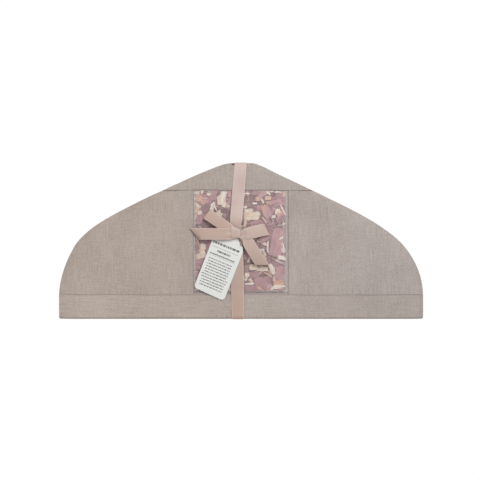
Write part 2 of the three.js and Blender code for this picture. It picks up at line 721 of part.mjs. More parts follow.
// The chips that show: each one's place as shares of the window, its length and width as shares of a usual
// chip's length, and its turn
const topChips = [
  { atShare: [0.085, 0.905], sizeShares: [0.55, 0.5], turn: 60, wood: sapwood },
  { atShare: [0.2, 0.915], sizeShares: [0.75, 0.45], turn: 8, wood: heartwood },
  { atShare: [0.325, 0.9], sizeShares: [1, 0.6], turn: 97, wood: sapwood },
  { atShare: [0.545, 0.905], sizeShares: [0.85, 0.55], turn: 160, wood: heartwood },
  { atShare: [0.712, 0.905], sizeShares: [0.85, 0.45], turn: 4, wood: heartwood },
  { atShare: [0.88, 0.905], sizeShares: [0.95, 0.45], turn: 170, wood: heartwood },
  { atShare: [0.1, 0.775], sizeShares: [0.95, 0.6], turn: 100, wood: heartwood },
  { atShare: [0.24, 0.77], sizeShares: [0.85, 0.35], turn: 70, wood: sapwood },
  { atShare: [0.36, 0.745], sizeShares: [0.8, 0.45], turn: 100, wood: heartwood },
  { atShare: [0.62, 0.765], sizeShares: [1.15, 0.625], turn: 6, wood: sapwood },
  { atShare: [0.8, 0.795], sizeShares: [1.05, 0.65], turn: 128, wood: heartwood },
  { atShare: [0.935, 0.785], sizeShares: [0.9, 0.3], turn: 112, wood: sapwood },
  { atShare: [0.12, 0.6], sizeShares: [1.2, 0.65], turn: 20, wood: heartwood },
  { atShare: [0.36, 0.58], sizeShares: [1, 0.6], turn: 150, wood: heartwood },
  { atShare: [0.65, 0.6], sizeShares: [1.05, 0.55], turn: 24, wood: heartwood },
  { atShare: [0.89, 0.5], sizeShares: [1.8, 0.85], turn: 83, wood: heartwood },
  { atShare: [0.1, 0.415], sizeShares: [0.85, 0.7], turn: 120, wood: sapwood },
  { atShare: [0.32, 0.4], sizeShares: [0.95, 0.6], turn: 80, wood: heartwood },
  { atShare: [0.7, 0.4], sizeShares: [0.95, 0.35], turn: 118, wood: sapwood },
  { atShare: [0.11, 0.2], sizeShares: [1, 0.65], turn: 65, wood: heartwood },
  { atShare: [0.55, 0.26], sizeShares: [0.95, 0.5], turn: 75, wood: sapwood },
  { atShare: [0.86, 0.25], sizeShares: [1.1, 0.6], turn: 95, wood: heartwood },
  { atShare: [0.68, 0.12], sizeShares: [1.2, 0.65], turn: 20, wood: heartwood },
  { atShare: [0.89, 0.07], sizeShares: [0.7, 0.35], turn: 2, wood: sapwood },
];

// Thicker blocks lie below them on the lining, in rows, each turned a steady step further.
const blockRows = 3;
const blockColumns = 4;
const blockSizeShares = [0.85, 0.6]; // of a usual chip's length
const blockReachShare = 0.29; // how far the rows reach from the window's middle
const blockTurnStep = 47;
const blockRoomGap = 1.6; // kept free between a block and the chips over it

function layChips(chips) {
  chips.forEach((chip, i) => {
    const [x, y] = inWindow(...chip.atShare);
    const turn = THREE.MathUtils.degToRad(chip.turn);
    const thickness = chipThickness * around(1, thickSpread);
    const name = `cedar_chip_${String(i + 1).padStart(2, "0")}`;
    const [length, width] = chip.sizeShares.map((share) => share * chipLength);
    const piece = addPiece(name, chipGeometry(length, width, thickness), chip.wood);
    seatUnderSheer(piece, x, y, length, width, thickness, turn);
  });
}

function layBlocks() {
  for (let row = 0; row < blockRows; row++)
    for (let column = 0; column < blockColumns; column++) {
      const i = row * blockColumns + column;
      const spread = (place, count) => 1 / 2 + blockReachShare * ((2 * place) / (count - 1) - 1);
      const [x, y] = inWindow(spread(column, blockColumns), spread(row, blockRows));
      const room = sheerUnder(x, y) - liningTop(x, y) - chipBedGap - chipThickness;
      const thickness = room - blockRoomGap;
      const finish = i % 3 === 1 ? sapwood : heartwood;
      const name = `cedar_block_${String(i + 1).padStart(2, "0")}`;
      const [length, width] = blockSizeShares.map((share) => share * chipLength);
      const piece = addPiece(name, chipGeometry(length, width, thickness), finish);
      piece.rotation.z = THREE.MathUtils.degToRad(i * blockTurnStep);
      piece.position.set(x, y, liningTop(x, y) + seatGap + thickness / 2);
    }
}
layChips(topChips);
layBlocks();

export default cover;
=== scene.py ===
import math
import random

import bpy
import numpy as np
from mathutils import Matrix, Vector
from mathutils.geometry import delaunay_2d_cdt


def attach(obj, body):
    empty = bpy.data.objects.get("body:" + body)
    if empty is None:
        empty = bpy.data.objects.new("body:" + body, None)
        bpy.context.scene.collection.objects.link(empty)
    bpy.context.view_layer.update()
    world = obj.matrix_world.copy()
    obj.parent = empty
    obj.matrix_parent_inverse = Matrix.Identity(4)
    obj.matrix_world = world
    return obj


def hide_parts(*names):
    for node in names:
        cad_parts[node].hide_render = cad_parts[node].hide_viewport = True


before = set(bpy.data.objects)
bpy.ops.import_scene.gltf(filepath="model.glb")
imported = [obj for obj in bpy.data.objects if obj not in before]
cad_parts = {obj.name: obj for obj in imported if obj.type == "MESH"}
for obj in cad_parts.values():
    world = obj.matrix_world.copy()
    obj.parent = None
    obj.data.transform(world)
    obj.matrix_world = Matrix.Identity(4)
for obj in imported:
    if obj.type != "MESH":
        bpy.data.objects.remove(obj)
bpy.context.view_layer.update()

MM = 0.001
COVER_WIDTH, COVER_HEIGHT = 457.0, 194.4
BOTTOM_Y, TOP_Y = -COVER_HEIGHT / 2, COVER_HEIGHT / 2
HEM_SEAM_Y, YOKE_SEAM_Y = -67.8, 63.2
LINEN, CLOTH_LIFT = 0.55, 1.2  # thickness of the linen, and top of the front cloth above its underside
FRONT_INNER, EDGE_INNER, HOOK_INNER = 9.0, 2.8, 6.4  # the front's underside: full, at a sewn edge, at the hook
EDGE_RUN = 22.0  # how far in from its edge the front is full
HOOK_HALF, HOOK_BLEND = 13.5, 19.0  # half the hook opening, and how far beyond it the edge stands up
ROLL = 1.1  # radius of the turned edge
FRONT_TURN, BACK_OUTER = 3.35, 0.15  # height of the front's turn, and of the back's outer face
left, right, low, high = -60.0, 59.0, -65.8, 63.05  # the window's sides
POUCH_RISE = 5.0  # how far the sheer front crowns in its middle
ORGANZA, RIBBON = 0.18, 0.3  # thicknesses
RIBBON_WIDTH = 15.5
RUN_LIFT = 0.625  # middle of a ribbon run above the cloth that it lies on
RUN_BEHIND = -3.9, -0.4  # middle of the ribbon behind the cover, at the bottom and at the top
BEHIND_Z = 0.325  # its height
UP, ACROSS = np.array([0, 0, 1.0]), np.array([1.0, 0, 0])


# Meshes -----------------------------------------------------------------------


def linked(name, data):
    """An object with that data, put in the scene."""
    made = bpy.data.objects.new(name, data)
    bpy.context.scene.collection.objects.link(made)
    return made


def new_mesh(name, points, faces, material, uv=None, tone=None, smooth=True):
    """A mesh object from points in millimetres. uv holds a pair for every point, tone a number."""
    mesh = bpy.data.meshes.new(name)
    mesh.from_pydata((np.asarray(points, float) * MM).tolist(), [], [tuple(int(i) for i in f) for f in faces])
    if uv is not None:
        layer = mesh.uv_layers.new(name="UVMap")
        index = np.empty(len(mesh.loops), np.int32)
        mesh.loops.foreach_get("vertex_index", index)
        layer.data.foreach_set("uv", np.asarray(uv, np.float32)[index].ravel())
    if tone is not None:
        mesh.attributes.new("tone", "FLOAT", "POINT").data.foreach_set("value", np.asarray(tone, np.float32))
    mesh.polygons.foreach_set("use_smooth", [smooth] * len(mesh.polygons))
    mesh.materials.append(material)
    mesh.update()
    return linked(name, mesh)


def grid_normals(grid):
    normal = np.cross(np.gradient(grid, axis=1), np.gradient(grid, axis=0))
    length = np.linalg.norm(normal, axis=2, keepdims=True)
    return np.where(length > 1e-9, normal / np.maximum(length, 1e-9), UP)


def sheet_faces(rows, columns):
    """The faces of a closed sheet: its top layer's points come first, then its bottom layer's."""
    size = rows * columns
    starts = [r * columns + c for r in range(rows - 1) for c in range(columns - 1)]
    faces = [(i, i + 1, i + 1 + columns, i + columns) for i in starts]
    faces += [(a + size, d + size, c + size, b + size) for a, b, c, d in faces]
    border = [*range(columns), *range(2 * columns - 1, size, columns)]
    border += [*range(size - 2, size - columns - 1, -1), *range(size - 2 * columns, -1, -columns)]
    return faces + [(a + size, b + size, b, a) for a, b in zip(border, border[1:])]


def thick_sheet(name, grid, thickness, material, share=1.0, uv=None, flip=False, tone=None):
    """Cloth of that thickness from a grid of points. share is how much of it lies below the grid."""
    grid = np.asarray(grid, float)
    normal = grid_normals(grid) * (-1 if flip else 1)
    layers = [grid + normal * thickness * (1 - share), grid - normal * thickness * share]
    points = np.concatenate(layers).reshape(-1, 3)
    flat_uv = (grid[..., :2] if uv is None else uv).reshape(-1, 2) * MM
    faces = sheet_faces(*grid.shape[:2])
    if flip:
        faces = [tuple(reversed(face)) for face in faces]
    tones = None if tone is None else [tone] * len(points)
    return new_mesh(name, points, faces, material, np.concatenate([flat_uv, flat_uv]), tones)


def fixed(piece, body, slot, *nodes):
    """Fixes a piece to a body and hides the nodes that it stands for. slot is not used."""
    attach(piece, body)
    if nodes:
        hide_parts(*nodes)
    return piece


def lerp(a, b, t):
    return a + (b - a) * t


def curved(start, middle, last, count):
    """Points along a quadratic curve, without its start."""
    t = np.linspace(0, 1, count)[1:, None]
    return list((1 - t) ** 2 * np.array(start) + 2 * t * (1 - t) * np.array(middle) + t**2 * np.array(last))


# The cover's shape ------------------------------------------------------------

# Half the outline, as shares of half the width and of the height: a flat top, then curves by control and end
FLAT_TOP = 0.056
BENDS = (
    ((0.087, 1.0), (0.153, 0.965)),
    ((0.486, 0.789), (0.6565, 0.6833)),
    ((0.8394, 0.5703), (0.9046, 0.4664)),
    ((1.0, 0.3065), (1.0, 0.1334)),
)
# The sewn edges lean a few millimetres to the left over the shoulders: heights, leans
LEAN = (-98, -44, -29, -14, 1, 16, 54, 84, 95, 98.2), (0.0, 0.0, -0.4, -1.4, -3.1, -4.5, -5.1, -3.6, -0.9, 0.9)


def outline_points():
    at = lambda across, up: (across * COVER_WIDTH / 2, BOTTOM_Y + up * COVER_HEIGHT)
    half = [at(share, 1) for share in np.linspace(0, FLAT_TOP, 6)]
    for control, end in BENDS:
        half += curved(half[-1], at(*control), at(*end), 25)
    half += [(COVER_WIDTH / 2, y) for y in np.linspace(half[-1][1], BOTTOM_Y, 10)[1:]]
    half = np.array(half)
    points = np.concatenate([half[:0:-1] * (-1, 1), half])
    points[:, 0] += np.interp(points[:, 1], *LEAN)
    along = np.gradient(points, axis=0)
    along /= np.linalg.norm(along, axis=1, keepdims=True)
    return points, np.stack([-along[:, 1], along[:, 0]], axis=1)


OUTLINE, OUT_NORMAL = outline_points()


def distance_to_edge(x, y):
    at = np.stack([np.ravel(x), np.ravel(y)], axis=1)
    start, run = OUTLINE[:-1], np.diff(OUTLINE, axis=0)
    square = (run**2).sum(axis=1)
    nearest = []
    for some in np.array_split(at, len(at) // 3000 + 1):
        dx = some[:, :1] - start[:, 0]
        dy = some[:, 1:] - start[:, 1]
        share = np.clip((dx * run[:, 0] + dy * run[:, 1]) / square, 0, 1)
        nearest.append(np.sqrt(((dx - share * run[:, 0]) ** 2 + (dy - share * run[:, 1]) ** 2).min(axis=1)))
    return np.concatenate(nearest).reshape(np.shape(x))


def smoothstep(value, low, high):
    t = np.clip((value - low) / (high - low), 0, 1)
    return t * t * (3 - 2 * t)


def edge_lift(x):
    """How much higher the front's edge lies at the hook opening than at the sewn edges."""
    return (HOOK_INNER - EDGE_INNER) * (1 - smoothstep(np.abs(x), HOOK_HALF, HOOK_HALF + HOOK_BLEND))


def front_under(x, y):
    """Underside of the front cloth: low at the sewn edge, open at the hook, full a little way in."""
    edge = EDGE_INNER + edge_lift(x)
    share = np.clip(distance_to_edge(x, y) / EDGE_RUN, 0, 1)
    return edge + (FRONT_INNER - edge) * (1 - (1 - share) ** 2)


def slack(x, y):
    """Shallow waves of cloth that was folded and pressed."""
    waves = (
        (0.20, 0.031, 0.008, 0.4),
        (0.14, 0.052, -0.015, 2.1),
        (0.10, -0.018, 0.047, 1.2),
        (0.07, 0.083, 0.021, 4.0),
    )
    return sum(a * np.sin(2 * np.pi * (kx * x * 0.55 + ky * y * 0.55) + p) for a, kx, ky, p in waves)


def pouch_height(x, y):
    across = np.minimum(np.abs(x - (left + right) / 2) / ((right - left) / 2), 1)
    up = np.minimum(np.abs(y - (low + high) / 2) / ((high - low) / 2), 1)
    return POUCH_RISE * (1 - across**2.2) * (1 - up**2.2)


def front_bed(x, y):
    """What a ribbon or the tag lies on: the linen's top, or the window's sheer front where it stands higher."""
    inside = (x > left) & (x < right) & (y > low) & (y < high)
    sheer = pouch_height(x, y) + 0.5
    return front_under(x, y) + np.where(inside, np.maximum(CLOTH_LIFT, sheer), CLOTH_LIFT)


def linen_top(x, y):
    calm = smoothstep(distance_to_edge(x, y), 0, 14)
    return front_under(x, y) + CLOTH_LIFT + slack(x, y) * calm * 0.8 - 0.25 * calm


def face_height(front, x, y):
    """The outer face of the front or of the back, which lies over the ribbon that passes below it."""
    if front:
        return linen_top(x, y)
    away = np.abs(x - np.interp(y, (BOTTOM_Y, TOP_Y), RUN_BEHIND)) - RIBBON_WIDTH / 2
    return BACK_OUTER + 0.85 * (1 - smoothstep(away, 0.5, 4.5))


# Materials --------------------------------------------------------------------


def srgb(text):
    """A hex colour as the linear colour that a shader takes."""
    parts = [int(text[i : i + 2], 16) / 255 for i in (1, 3, 5)]
    return (*[p / 12.92 if p <= 0.04045 else ((p + 0.055) / 1.055) ** 2.4 for p in parts], 1.0)


def add(tree, kind, inputs=None, **settings):
    """Adds a node, with its settings, and sets or links its inputs."""
    made = tree.nodes.new(kind)
    for name, value in settings.items():
        setattr(made, name, value)
    for name, value in (inputs or {}).items():
        if isinstance(value, bpy.types.NodeSocket):
            tree.links.new(value, made.inputs[name])
        else:
            made.inputs[name].default_value = value
    return made


def new_material(name):
    made = bpy.data.materials.new(name)
    made.use_nodes = True
    made.node_tree.nodes.clear()
    return made, made.node_tree


def ramp(tree, factor, stops):
    made = add(tree, "ShaderNodeValToRGB", {"Fac": factor})
    elements = made.color_ramp.elements
    while len(elements) < len(stops):
        elements.new(0.5)
    for element, (place, colour) in zip(elements, stops):
        element.position = place
        element.color = srgb(colour)
    return made.outputs["Color"]


def math_of(tree, operation, *values):
    return add(tree, "ShaderNodeMath", dict(enumerate(values)), operation=operation).outputs[0]


def weighted(tree, base, *pairs):
    """The sum of base and of each value times its weight."""
    for value, weight in pairs:
        base = math_of(tree, "MULTIPLY_ADD", value, weight, base)
    return base


def between(tree, value, start, end, least=0.0, most=1.0):
    """Goes from least to most as the value goes from start to end, and stays there beyond."""
    return add(tree, "ShaderNodeMapRange", {0: value, 1: start, 2: end, 3: least, 4: most}).outputs[0]


def mixed(tree, share, a, b, blend="MIX"):
    return add(tree, "ShaderNodeMix", {0: share, 6: a, 7: b}, data_type="RGBA", blend_type=blend).outputs[2]


def tinted(tree, share, colour, tint):
    return mixed(tree, share, colour, mixed(tree, 1.0, colour, srgb(tint), "MULTIPLY"))


def in_mm(tree, output="Object"):
    """Texture coordinates in millimetres."""
    coordinates = add(tree, "ShaderNodeTexCoord").outputs[output]
    return add(tree, "ShaderNodeVectorMath", {0: coordinates, "Scale": 1 / MM}, operation="SCALE").outputs[0]


def split(tree, vector):
    return list(add(tree, "ShaderNodeSeparateXYZ", {0: vector}).outputs)


def wave(tree, operation, value, length):
    return math_of(tree, operation, math_of(tree, "MULTIPLY", value, 2 * math.pi / length))


def grain(tree, place, x, y, z=1.0, detail=2.0, rough=0.5):
    """Noise with a grain of that many millimetres along each axis."""
    vector = add(tree, "ShaderNodeMapping", {"Vector": place, "Scale": (1 / x, 1 / y, 1 / z)}).outputs[0]
    inputs = {"Vector": vector, "Scale": 1.0, "Detail": detail, "Roughness": rough}
    return add(tree, "ShaderNodeTexNoise", inputs).outputs["Fac"]


def tone_of(tree):
    return add(tree, "ShaderNodeAttribute", attribute_name="tone").outputs["Fac"]


def finished(made, tree, colour, roughness, bump=None, more=None):
    """Ends a material in one surface. bump holds a height, its distance in metres and its strength."""
    inputs = {"Base Color": colour, "Roughness": roughness, **(more or {})}
    if bump:
        relief = dict(zip(("Height", "Distance", "Strength"), bump))
        inputs["Normal"] = add(tree, "ShaderNodeBump", relief).outputs[0]
    shader = add(tree, "ShaderNodeBsdfPrincipled", inputs)
    add(tree, "ShaderNodeOutputMaterial", {"Surface": shader.outputs[0]})
    return made


# Millimetres from one yarn to the next but one in linen, to the next in organza, and to the next rib in satin.
# They are coarser than real, where linen has 1.1, because real ones would not show
LINEN_THREAD, ORGANZA_YARN, SATIN_RIB = 1.6, 0.9, 0.7


def linen_material(name, turn, dark, light, left_tint, right_tint):
    """Plain-woven linen from flax yarn. The yarns are uneven, so long thick and thin places show as faint
    streaks along the warp. Painted shade makes the folded edge of the hem and the seams a little darker and redder."""
    made, tree = new_material(name)
    place = in_mm(tree)
    turned = add(tree, "ShaderNodeMapping", {"Vector": place, "Rotation": (0, 0, turn)}).outputs[0]
    warp = grain(tree, turned, 1.15, 26.0, 9.0, 3.0, 0.62)
    weft = grain(tree, turned, 17.0, 0.95, 9.0, 3.0, 0.6)
    fleck = grain(tree, turned, 0.9, 1.3, 1.2, 2.0, 0.7)
    cloud = grain(tree, place, 46.0, 60.0, 30.0)
    weave = math_of(tree, "MULTIPLY", *[wave(tree, "SINE", axis, LINEN_THREAD) for axis in split(tree, turned)[:2]])
    tone = weighted(tree, -0.705, (warp, 0.62), (weft, 0.44), (fleck, 1.05), (cloud, 0.3), (weave, 0.05))
    colour = ramp(tree, tone, ((0.14, dark), (0.86, light)))
    side, up, _ = split(tree, place)
    tint = mixed(tree, between(tree, side, -150.0, 170.0), srgb(left_tint), srgb(right_tint))
    colour = mixed(tree, 1.0, colour, tint, "MULTIPLY")
    colour = tinted(tree, between(tree, up, 0.0, 60.0), colour, "#F9FAFA")
    # Painted shade: darker and redder over the last two millimetres of the hem's folded edge, and along the seams
    painted_hem_seam_shade = between(tree, up, BOTTOM_Y + 2.1, BOTTOM_Y + 0.6)
    for seam, strength in ((HEM_SEAM_Y, 0.3), (YOKE_SEAM_Y, 0.2)):
        away = math_of(tree, "ABSOLUTE", math_of(tree, "ADD", up, -seam))
        painted_hem_seam_shade = math_of(tree, "MAXIMUM", painted_hem_seam_shade, between(tree, away, 1.3, 0.1, 0.0, strength))
    colour = tinted(tree, painted_hem_seam_shade, colour, "#DFD6D0")
    height = weighted(tree, 0.0, (weave, 0.22), (warp, 0.8), (fleck, 0.5))
    soft = {"Specular IOR Level": 0.2, "Sheen Weight": 0.12, "Sheen Roughness": 0.5}
    return finished(made, tree, colour, 0.92, (height, 0.00022, 0.8), soft)


def cotton_material():
    """Undyed cotton lawn, a fine plain weave, for the back of the pouch. Painted shade darkens it along its foot."""
    made, tree = new_material("cotton_lawn")
    place = in_mm(tree)
    fibre = grain(tree, place, 0.7, 0.7, 0.7, 2.0, 0.6)
    colour = ramp(tree, fibre, ((0.3, "#B3A5A3"), (0.7, "#C8BAB8")))
    # Painted shade: darker towards the pouch's foot, below the hem band
    painted_foot_shade = between(tree, split(tree, place)[1], HEM_SEAM_Y + 8.0, HEM_SEAM_Y + 3.5, 0.0, 0.36)
    colour = mixed(tree, painted_foot_shade, colour, srgb("#877370"))
    return finished(made, tree, colour, 0.9, (fibre, 0.0001, 0.6))


def organza_material(name, sheerest, milkiest):
    """Silk organza: crisp, sheer plain weave of fine twisted yarn. It veils what lies below with a milky,
    faintly lilac haze. The haze is stronger where the tone attribute says that it lies doubled, and along thin curved
    lines of painted highlight where creases would catch the light."""
    made, tree = new_material(name)
    place = in_mm(tree)
    yarns = [wave(tree, "COSINE", axis, ORGANZA_YARN) for axis in split(tree, place)[:2]]
    weave = weighted(tree, 0.5, (math_of(tree, "MAXIMUM", *yarns), 0.5))
    cover = weighted(tree, 0.0, (grain(tree, place, 14.0, 22.0, 10.0), 0.5), (weave, 0.5))
    # Painted highlight: thin curved lines where the cloth is whiter, for creases that catch the light
    bend = grain(tree, place, 19.0, 27.0, 19.0, 1.0, 0.4)
    off = math_of(tree, "ABSOLUTE", math_of(tree, "ADD", bend, -0.5))
    crease = between(tree, off, 0.012, 0.0, 0.0, 0.5)
    where = between(tree, grain(tree, place, 11.0, 9.0, 9.0), 0.5, 0.6)
    alpha = between(tree, cover, 0.2, 0.8, sheerest, milkiest)
    alpha = weighted(tree, alpha, (crease, where), (tone_of(tree), 0.6))
    crisp = {"Specular IOR Level": 0.5, "Sheen Weight": 0.3, "Alpha": alpha}
    return finished(made, tree, srgb("#E8DCDA"), 0.42, more=crisp)


def satin_material():
    """Polyester satin ribbon with a firm woven edge. The floats lie across the ribbon and give it a soft, even
    gleam; the edge cords stand up a little and look paler. Its UV map runs along and across the ribbon."""
    made, tree = new_material("polyester_satin")
    ribbon = in_mm(tree, "UV")
    along, across, _ = split(tree, ribbon)
    up = split(tree, in_mm(tree))[1]
    # Painted light: pinker and paler towards the top, browner towards the foot, for how the satin's sheen catches the
    # light
    base = mixed(tree, between(tree, up, 60.0, -70.0), srgb("#CBB7B1"), srgb("#BBA193"))
    # Painted shade: the tone attribute paints bow parts darker and warmer where shade falls on them, most of all the
    # left loop
    base = tinted(tree, tone_of(tree), base, "#F3E1D0")
    # Painted shade: darker over the last few millimetres, where the ribbon turns under the cover's foot
    base = tinted(tree, between(tree, up, BOTTOM_Y + 3.2, BOTTOM_Y), base, "#D6CCC6")
    streak = grain(tree, ribbon, 30.0, 0.8)
    base = mixed(tree, math_of(tree, "MULTIPLY", streak, 0.35), base, srgb("#B89C8C"))
    cords = between(tree, math_of(tree, "ABSOLUTE", across), 6.7, 7.2, 0.0, 0.55)
    base = mixed(tree, cords, base, srgb("#E6D3CA"))
    height = weighted(tree, 0.0, (wave(tree, "SINE", along, SATIN_RIB), 0.25), (streak, 0.6))
    gleam = {"Specular IOR Level": 0.45, "Anisotropic": 0.5, "Sheen Weight": 0.25, "Sheen Roughness": 0.35}
    return finished(made, tree, base, 0.42, (height, 0.00005, 0.7), gleam)


def grained_material(name, output, size, character, dark, light, roughness, bump=()):
    """A surface whose colour varies with a fine grain."""
    made, tree = new_material(name)
    fibre = grain(tree, in_mm(tree, output), *size, *character)
    colour = ramp(tree, fibre, ((0.3, dark), (0.7, light)))
    return finished(made, tree, colour, roughness, bump and (fibre, *bump))


def cedar_material():
    """Split red cedar. Heartwood is mauve to brown and sapwood cream; fine dark lines run along the split
    grain. The tone attribute picks a chip's wood, and its UV map runs along the grain."""
    made, tree = new_material("split_red_cedar")
    along = in_mm(tree, "UV")
    fibre = grain(tree, along, 9.0, 0.45, 1.0, 3.0, 0.6)
    ring = grain(tree, along, 26.0, 1.7)
    blotch = grain(tree, in_mm(tree), 6.0, 6.0, 6.0)
    wood = ramp(tree, weighted(tree, -0.125, (blotch, 0.26), (tone_of(tree), 1.0)), (
        (0.02, "#614440"),
        (0.2, "#916A6D"),
        (0.4, "#B3878F"),
        (0.55, "#CA9DA3"),
        (0.62, "#DDAE95"),
        (0.69, "#E5C2A8"),
        (0.8, "#F1E3CE"),
        (0.97, "#FCF7EE"),
    ))
    wood = tinted(tree, between(tree, fibre, 0.35, 0.62, 0.0, 0.34), wood, "#B8A09B")
    wood = tinted(tree, between(tree, ring, 0.5, 0.66, 0.0, 0.35), wood, "#C8A8A0")
    return finished(made, tree, wood, 0.75, (fibre, 0.00025, 0.8))


LINEN_CLOTH = linen_material("plain_woven_linen", 0.0, "#9A8C84", "#CCBEB8", "#FFFFFA", "#F9FDFF")
BAND_CLOTH = linen_material("crosswise_linen", math.pi / 2, "#A19287", "#D3C6BC", "#FFFFFF", "#EDF0F5")
COTTON = cotton_material()
ORGANZA_CLOTH = organza_material("silk_organza", 0.05, 0.13)
ORGANZA_EDGE = organza_material("folded_organza", 0.22, 0.38)
SATIN = satin_material()
# Dark brown polyester sewing thread, whose darkness is partly painted shade for the end of the hook opening
THREAD = grained_material("polyester_thread", "Object", (2.0, 0.3, 1.0), (2.0, 0.5), "#4B3832", "#6E574F", 0.6)
# Uncoated white card, smooth but not shiny. Its UV map is the card's own frame
CARD = grained_material("uncoated_card", "UV", (0.8, 0.8, 1.0), (3.0, 0.6), "#E2E2DE", "#EDEDEA", 0.65, (0.00004, 0.5))
# Matt offset ink that has sunk into the card
INK = grained_material("offset_ink", "Object", (0.5, 0.5, 0.5), (2.0, 0.6), "#646462", "#7E7E7C", 0.8)
CEDAR = cedar_material()


# Cloth pieces -----------------------------------------------------------------

# How the cloth turns under at a seam, and at the window's sides, where the sheer front lies deeper: distance, drop
SEAM_TURN = ((0.05, 0.24), (0.3, 0.13), (0.7, 0.06), (1.3, 0.02), (2.4, 0.0))
WINDOW_TURN = ((0.02, 0.62), (0.2, 0.3), (0.5, 0.1), (1.1, 0.02), (2.4, 0.0))
HEM_SEED, YOKE_SEED = 1.0, 2.6  # where each seam's wander starts
HEM_FOLD, HEM_ROUND, HEM_TURN_IN = 0.75, 1.7, 26.0  # half the hem fold's height, its reach, and the cloth turned in


def seam_turn(front):
    return SEAM_TURN if front else tuple((a, -0.6 * drop) for a, drop in SEAM_TURN)


def edge_roll(front):
    """The turned edge in the plane across it: (distance inwards from the edge, height)."""
    if front:
        turns, middle, tall = (29, 50, 70, 90, 110, 130, 150, 170, 190), FRONT_TURN, ROLL
    else:
        turns, middle, tall = range(180, -1, -20), BACK_OUTER + ROLL, ROLL - 0.05
    return [(ROLL - ROLL * math.sin(a), middle + tall * math.cos(a)) for a in np.radians(turns)]


def spread(count):
    """Shares after 0 and up to 1, closer together towards 1."""
    return (1 - (1 - np.linspace(0, 1, count)) ** 1.5)[1:]


def outline_above(height):
    """The outline's points over a height, with their normals. It starts and ends exactly at the height."""
    kept = []
    for i, (point, normal) in enumerate(zip(OUTLINE, OUT_NORMAL)):
        before = OUTLINE[i - 1]
        if i and (before[1] - height) * (point[1] - height) < 0:
            t = (height - before[1]) / (point[1] - before[1])
            kept.append((lerp(before, point, t), lerp(OUT_NORMAL[i - 1], normal, t)))
        if point[1] > height:
            kept.append((point, normal))
    return kept


def settled(grid, given, front, seams, moves=1.0):
    """Puts a grid of drops at its height: the given one, or else the cloth's face less the drop. Then it lets the
    cloth wander with its seams. seams holds each one's height and seed, and moves is 0 for rows that stay."""
    drop = grid[..., 2].copy()
    grid[..., 2] = np.where(np.isnan(given), face_height(front, grid[..., 0], grid[..., 1]) - drop, given)
    for seam, seed in seams:
        near = np.clip(1 - np.abs(grid[..., 1] - seam) / 6, 0, 1) * moves
        x = grid[..., 0]
        grid[..., 1] += (0.32 * np.sin(x / 31 + seed) + 0.22 * np.sin(x / 11.3 + 2.3 * seed)) * near
    return grid


def arch_grid(front, seam_y, seed):
    """Columns that stand on a straight seam and end in the turned edge of the arch above it."""
    profile = edge_roll(front)
    columns, heights = [], []
    for at, normal in outline_above(seam_y + 0.12):
        first = np.maximum(at - normal * profile[0][0], (-np.inf, seam_y + 0.1))
        shrink = min(1, max(first[1] - seam_y, 0.3) / 6)
        start_y = seam_y + SEAM_TURN[-1][0] * shrink
        points = [(first[0], seam_y + a * shrink, drop * shrink) for a, drop in seam_turn(front)]
        points += [(first[0], lerp(start_y, first[1], t), 0.0) for t in spread(44)]
        turn = [at - normal * inwards for inwards, _ in profile[1:]]
        columns.append(points + [(x, max(y, seam_y + 0.06), 0.0) for x, y in turn])
        heights.append([np.nan] * len(points) + [z + front * edge_lift(at[0]) for _, z in profile[1:]])
    return settled(np.array(columns).transpose(1, 0, 2), np.array(heights).T, front, ((seam_y, seed),))


def side_grid(side):
    """Rows from the window's side to the turned edge, between the hem seam and the yoke seam."""
    inner = left if side < 0 else right
    profile = edge_roll(True)
    rows = [(HEM_SEAM_Y + a, drop) for a, drop in SEAM_TURN]
    rows += [(y, 0.0) for y in np.linspace(HEM_SEAM_Y + 4, YOKE_SEAM_Y - 4, 56)]
    rows += [(YOKE_SEAM_Y - a, drop) for a, drop in reversed(SEAM_TURN)]
    there = OUTLINE[:, 0] * side > 20
    order = np.argsort(OUTLINE[there, 1])
    outline, normals = OUTLINE[there][order], OUT_NORMAL[there][order]
    points, given = [], []
    for y, row_drop in rows:
        edge = np.array([np.interp(y, outline[:, 1], outline[:, 0]), y])
        normal = np.array([np.interp(y, outline[:, 1], normals[:, k]) for k in (0, 1)])
        normal /= np.linalg.norm(normal)
        line = [(inner + side * a, y, max(drop, row_drop)) for a, drop in WINDOW_TURN]
        start, first = np.array(line[-1][:2]), edge - normal * profile[0][0]
        line += [(*lerp(start, first, t), row_drop) for t in spread(54)]
        points.append(line + [(*(edge - normal * inwards), 0.0) for inwards, _ in profile[1:]])
        given.append([np.nan] * len(line) + [z - row_drop * 0.4 for _, z in profile[1:]])
    return settled(np.array(points), np.array(given), True, ((HEM_SEAM_Y, HEM_SEED), (YOKE_SEAM_Y, YOKE_SEED)))


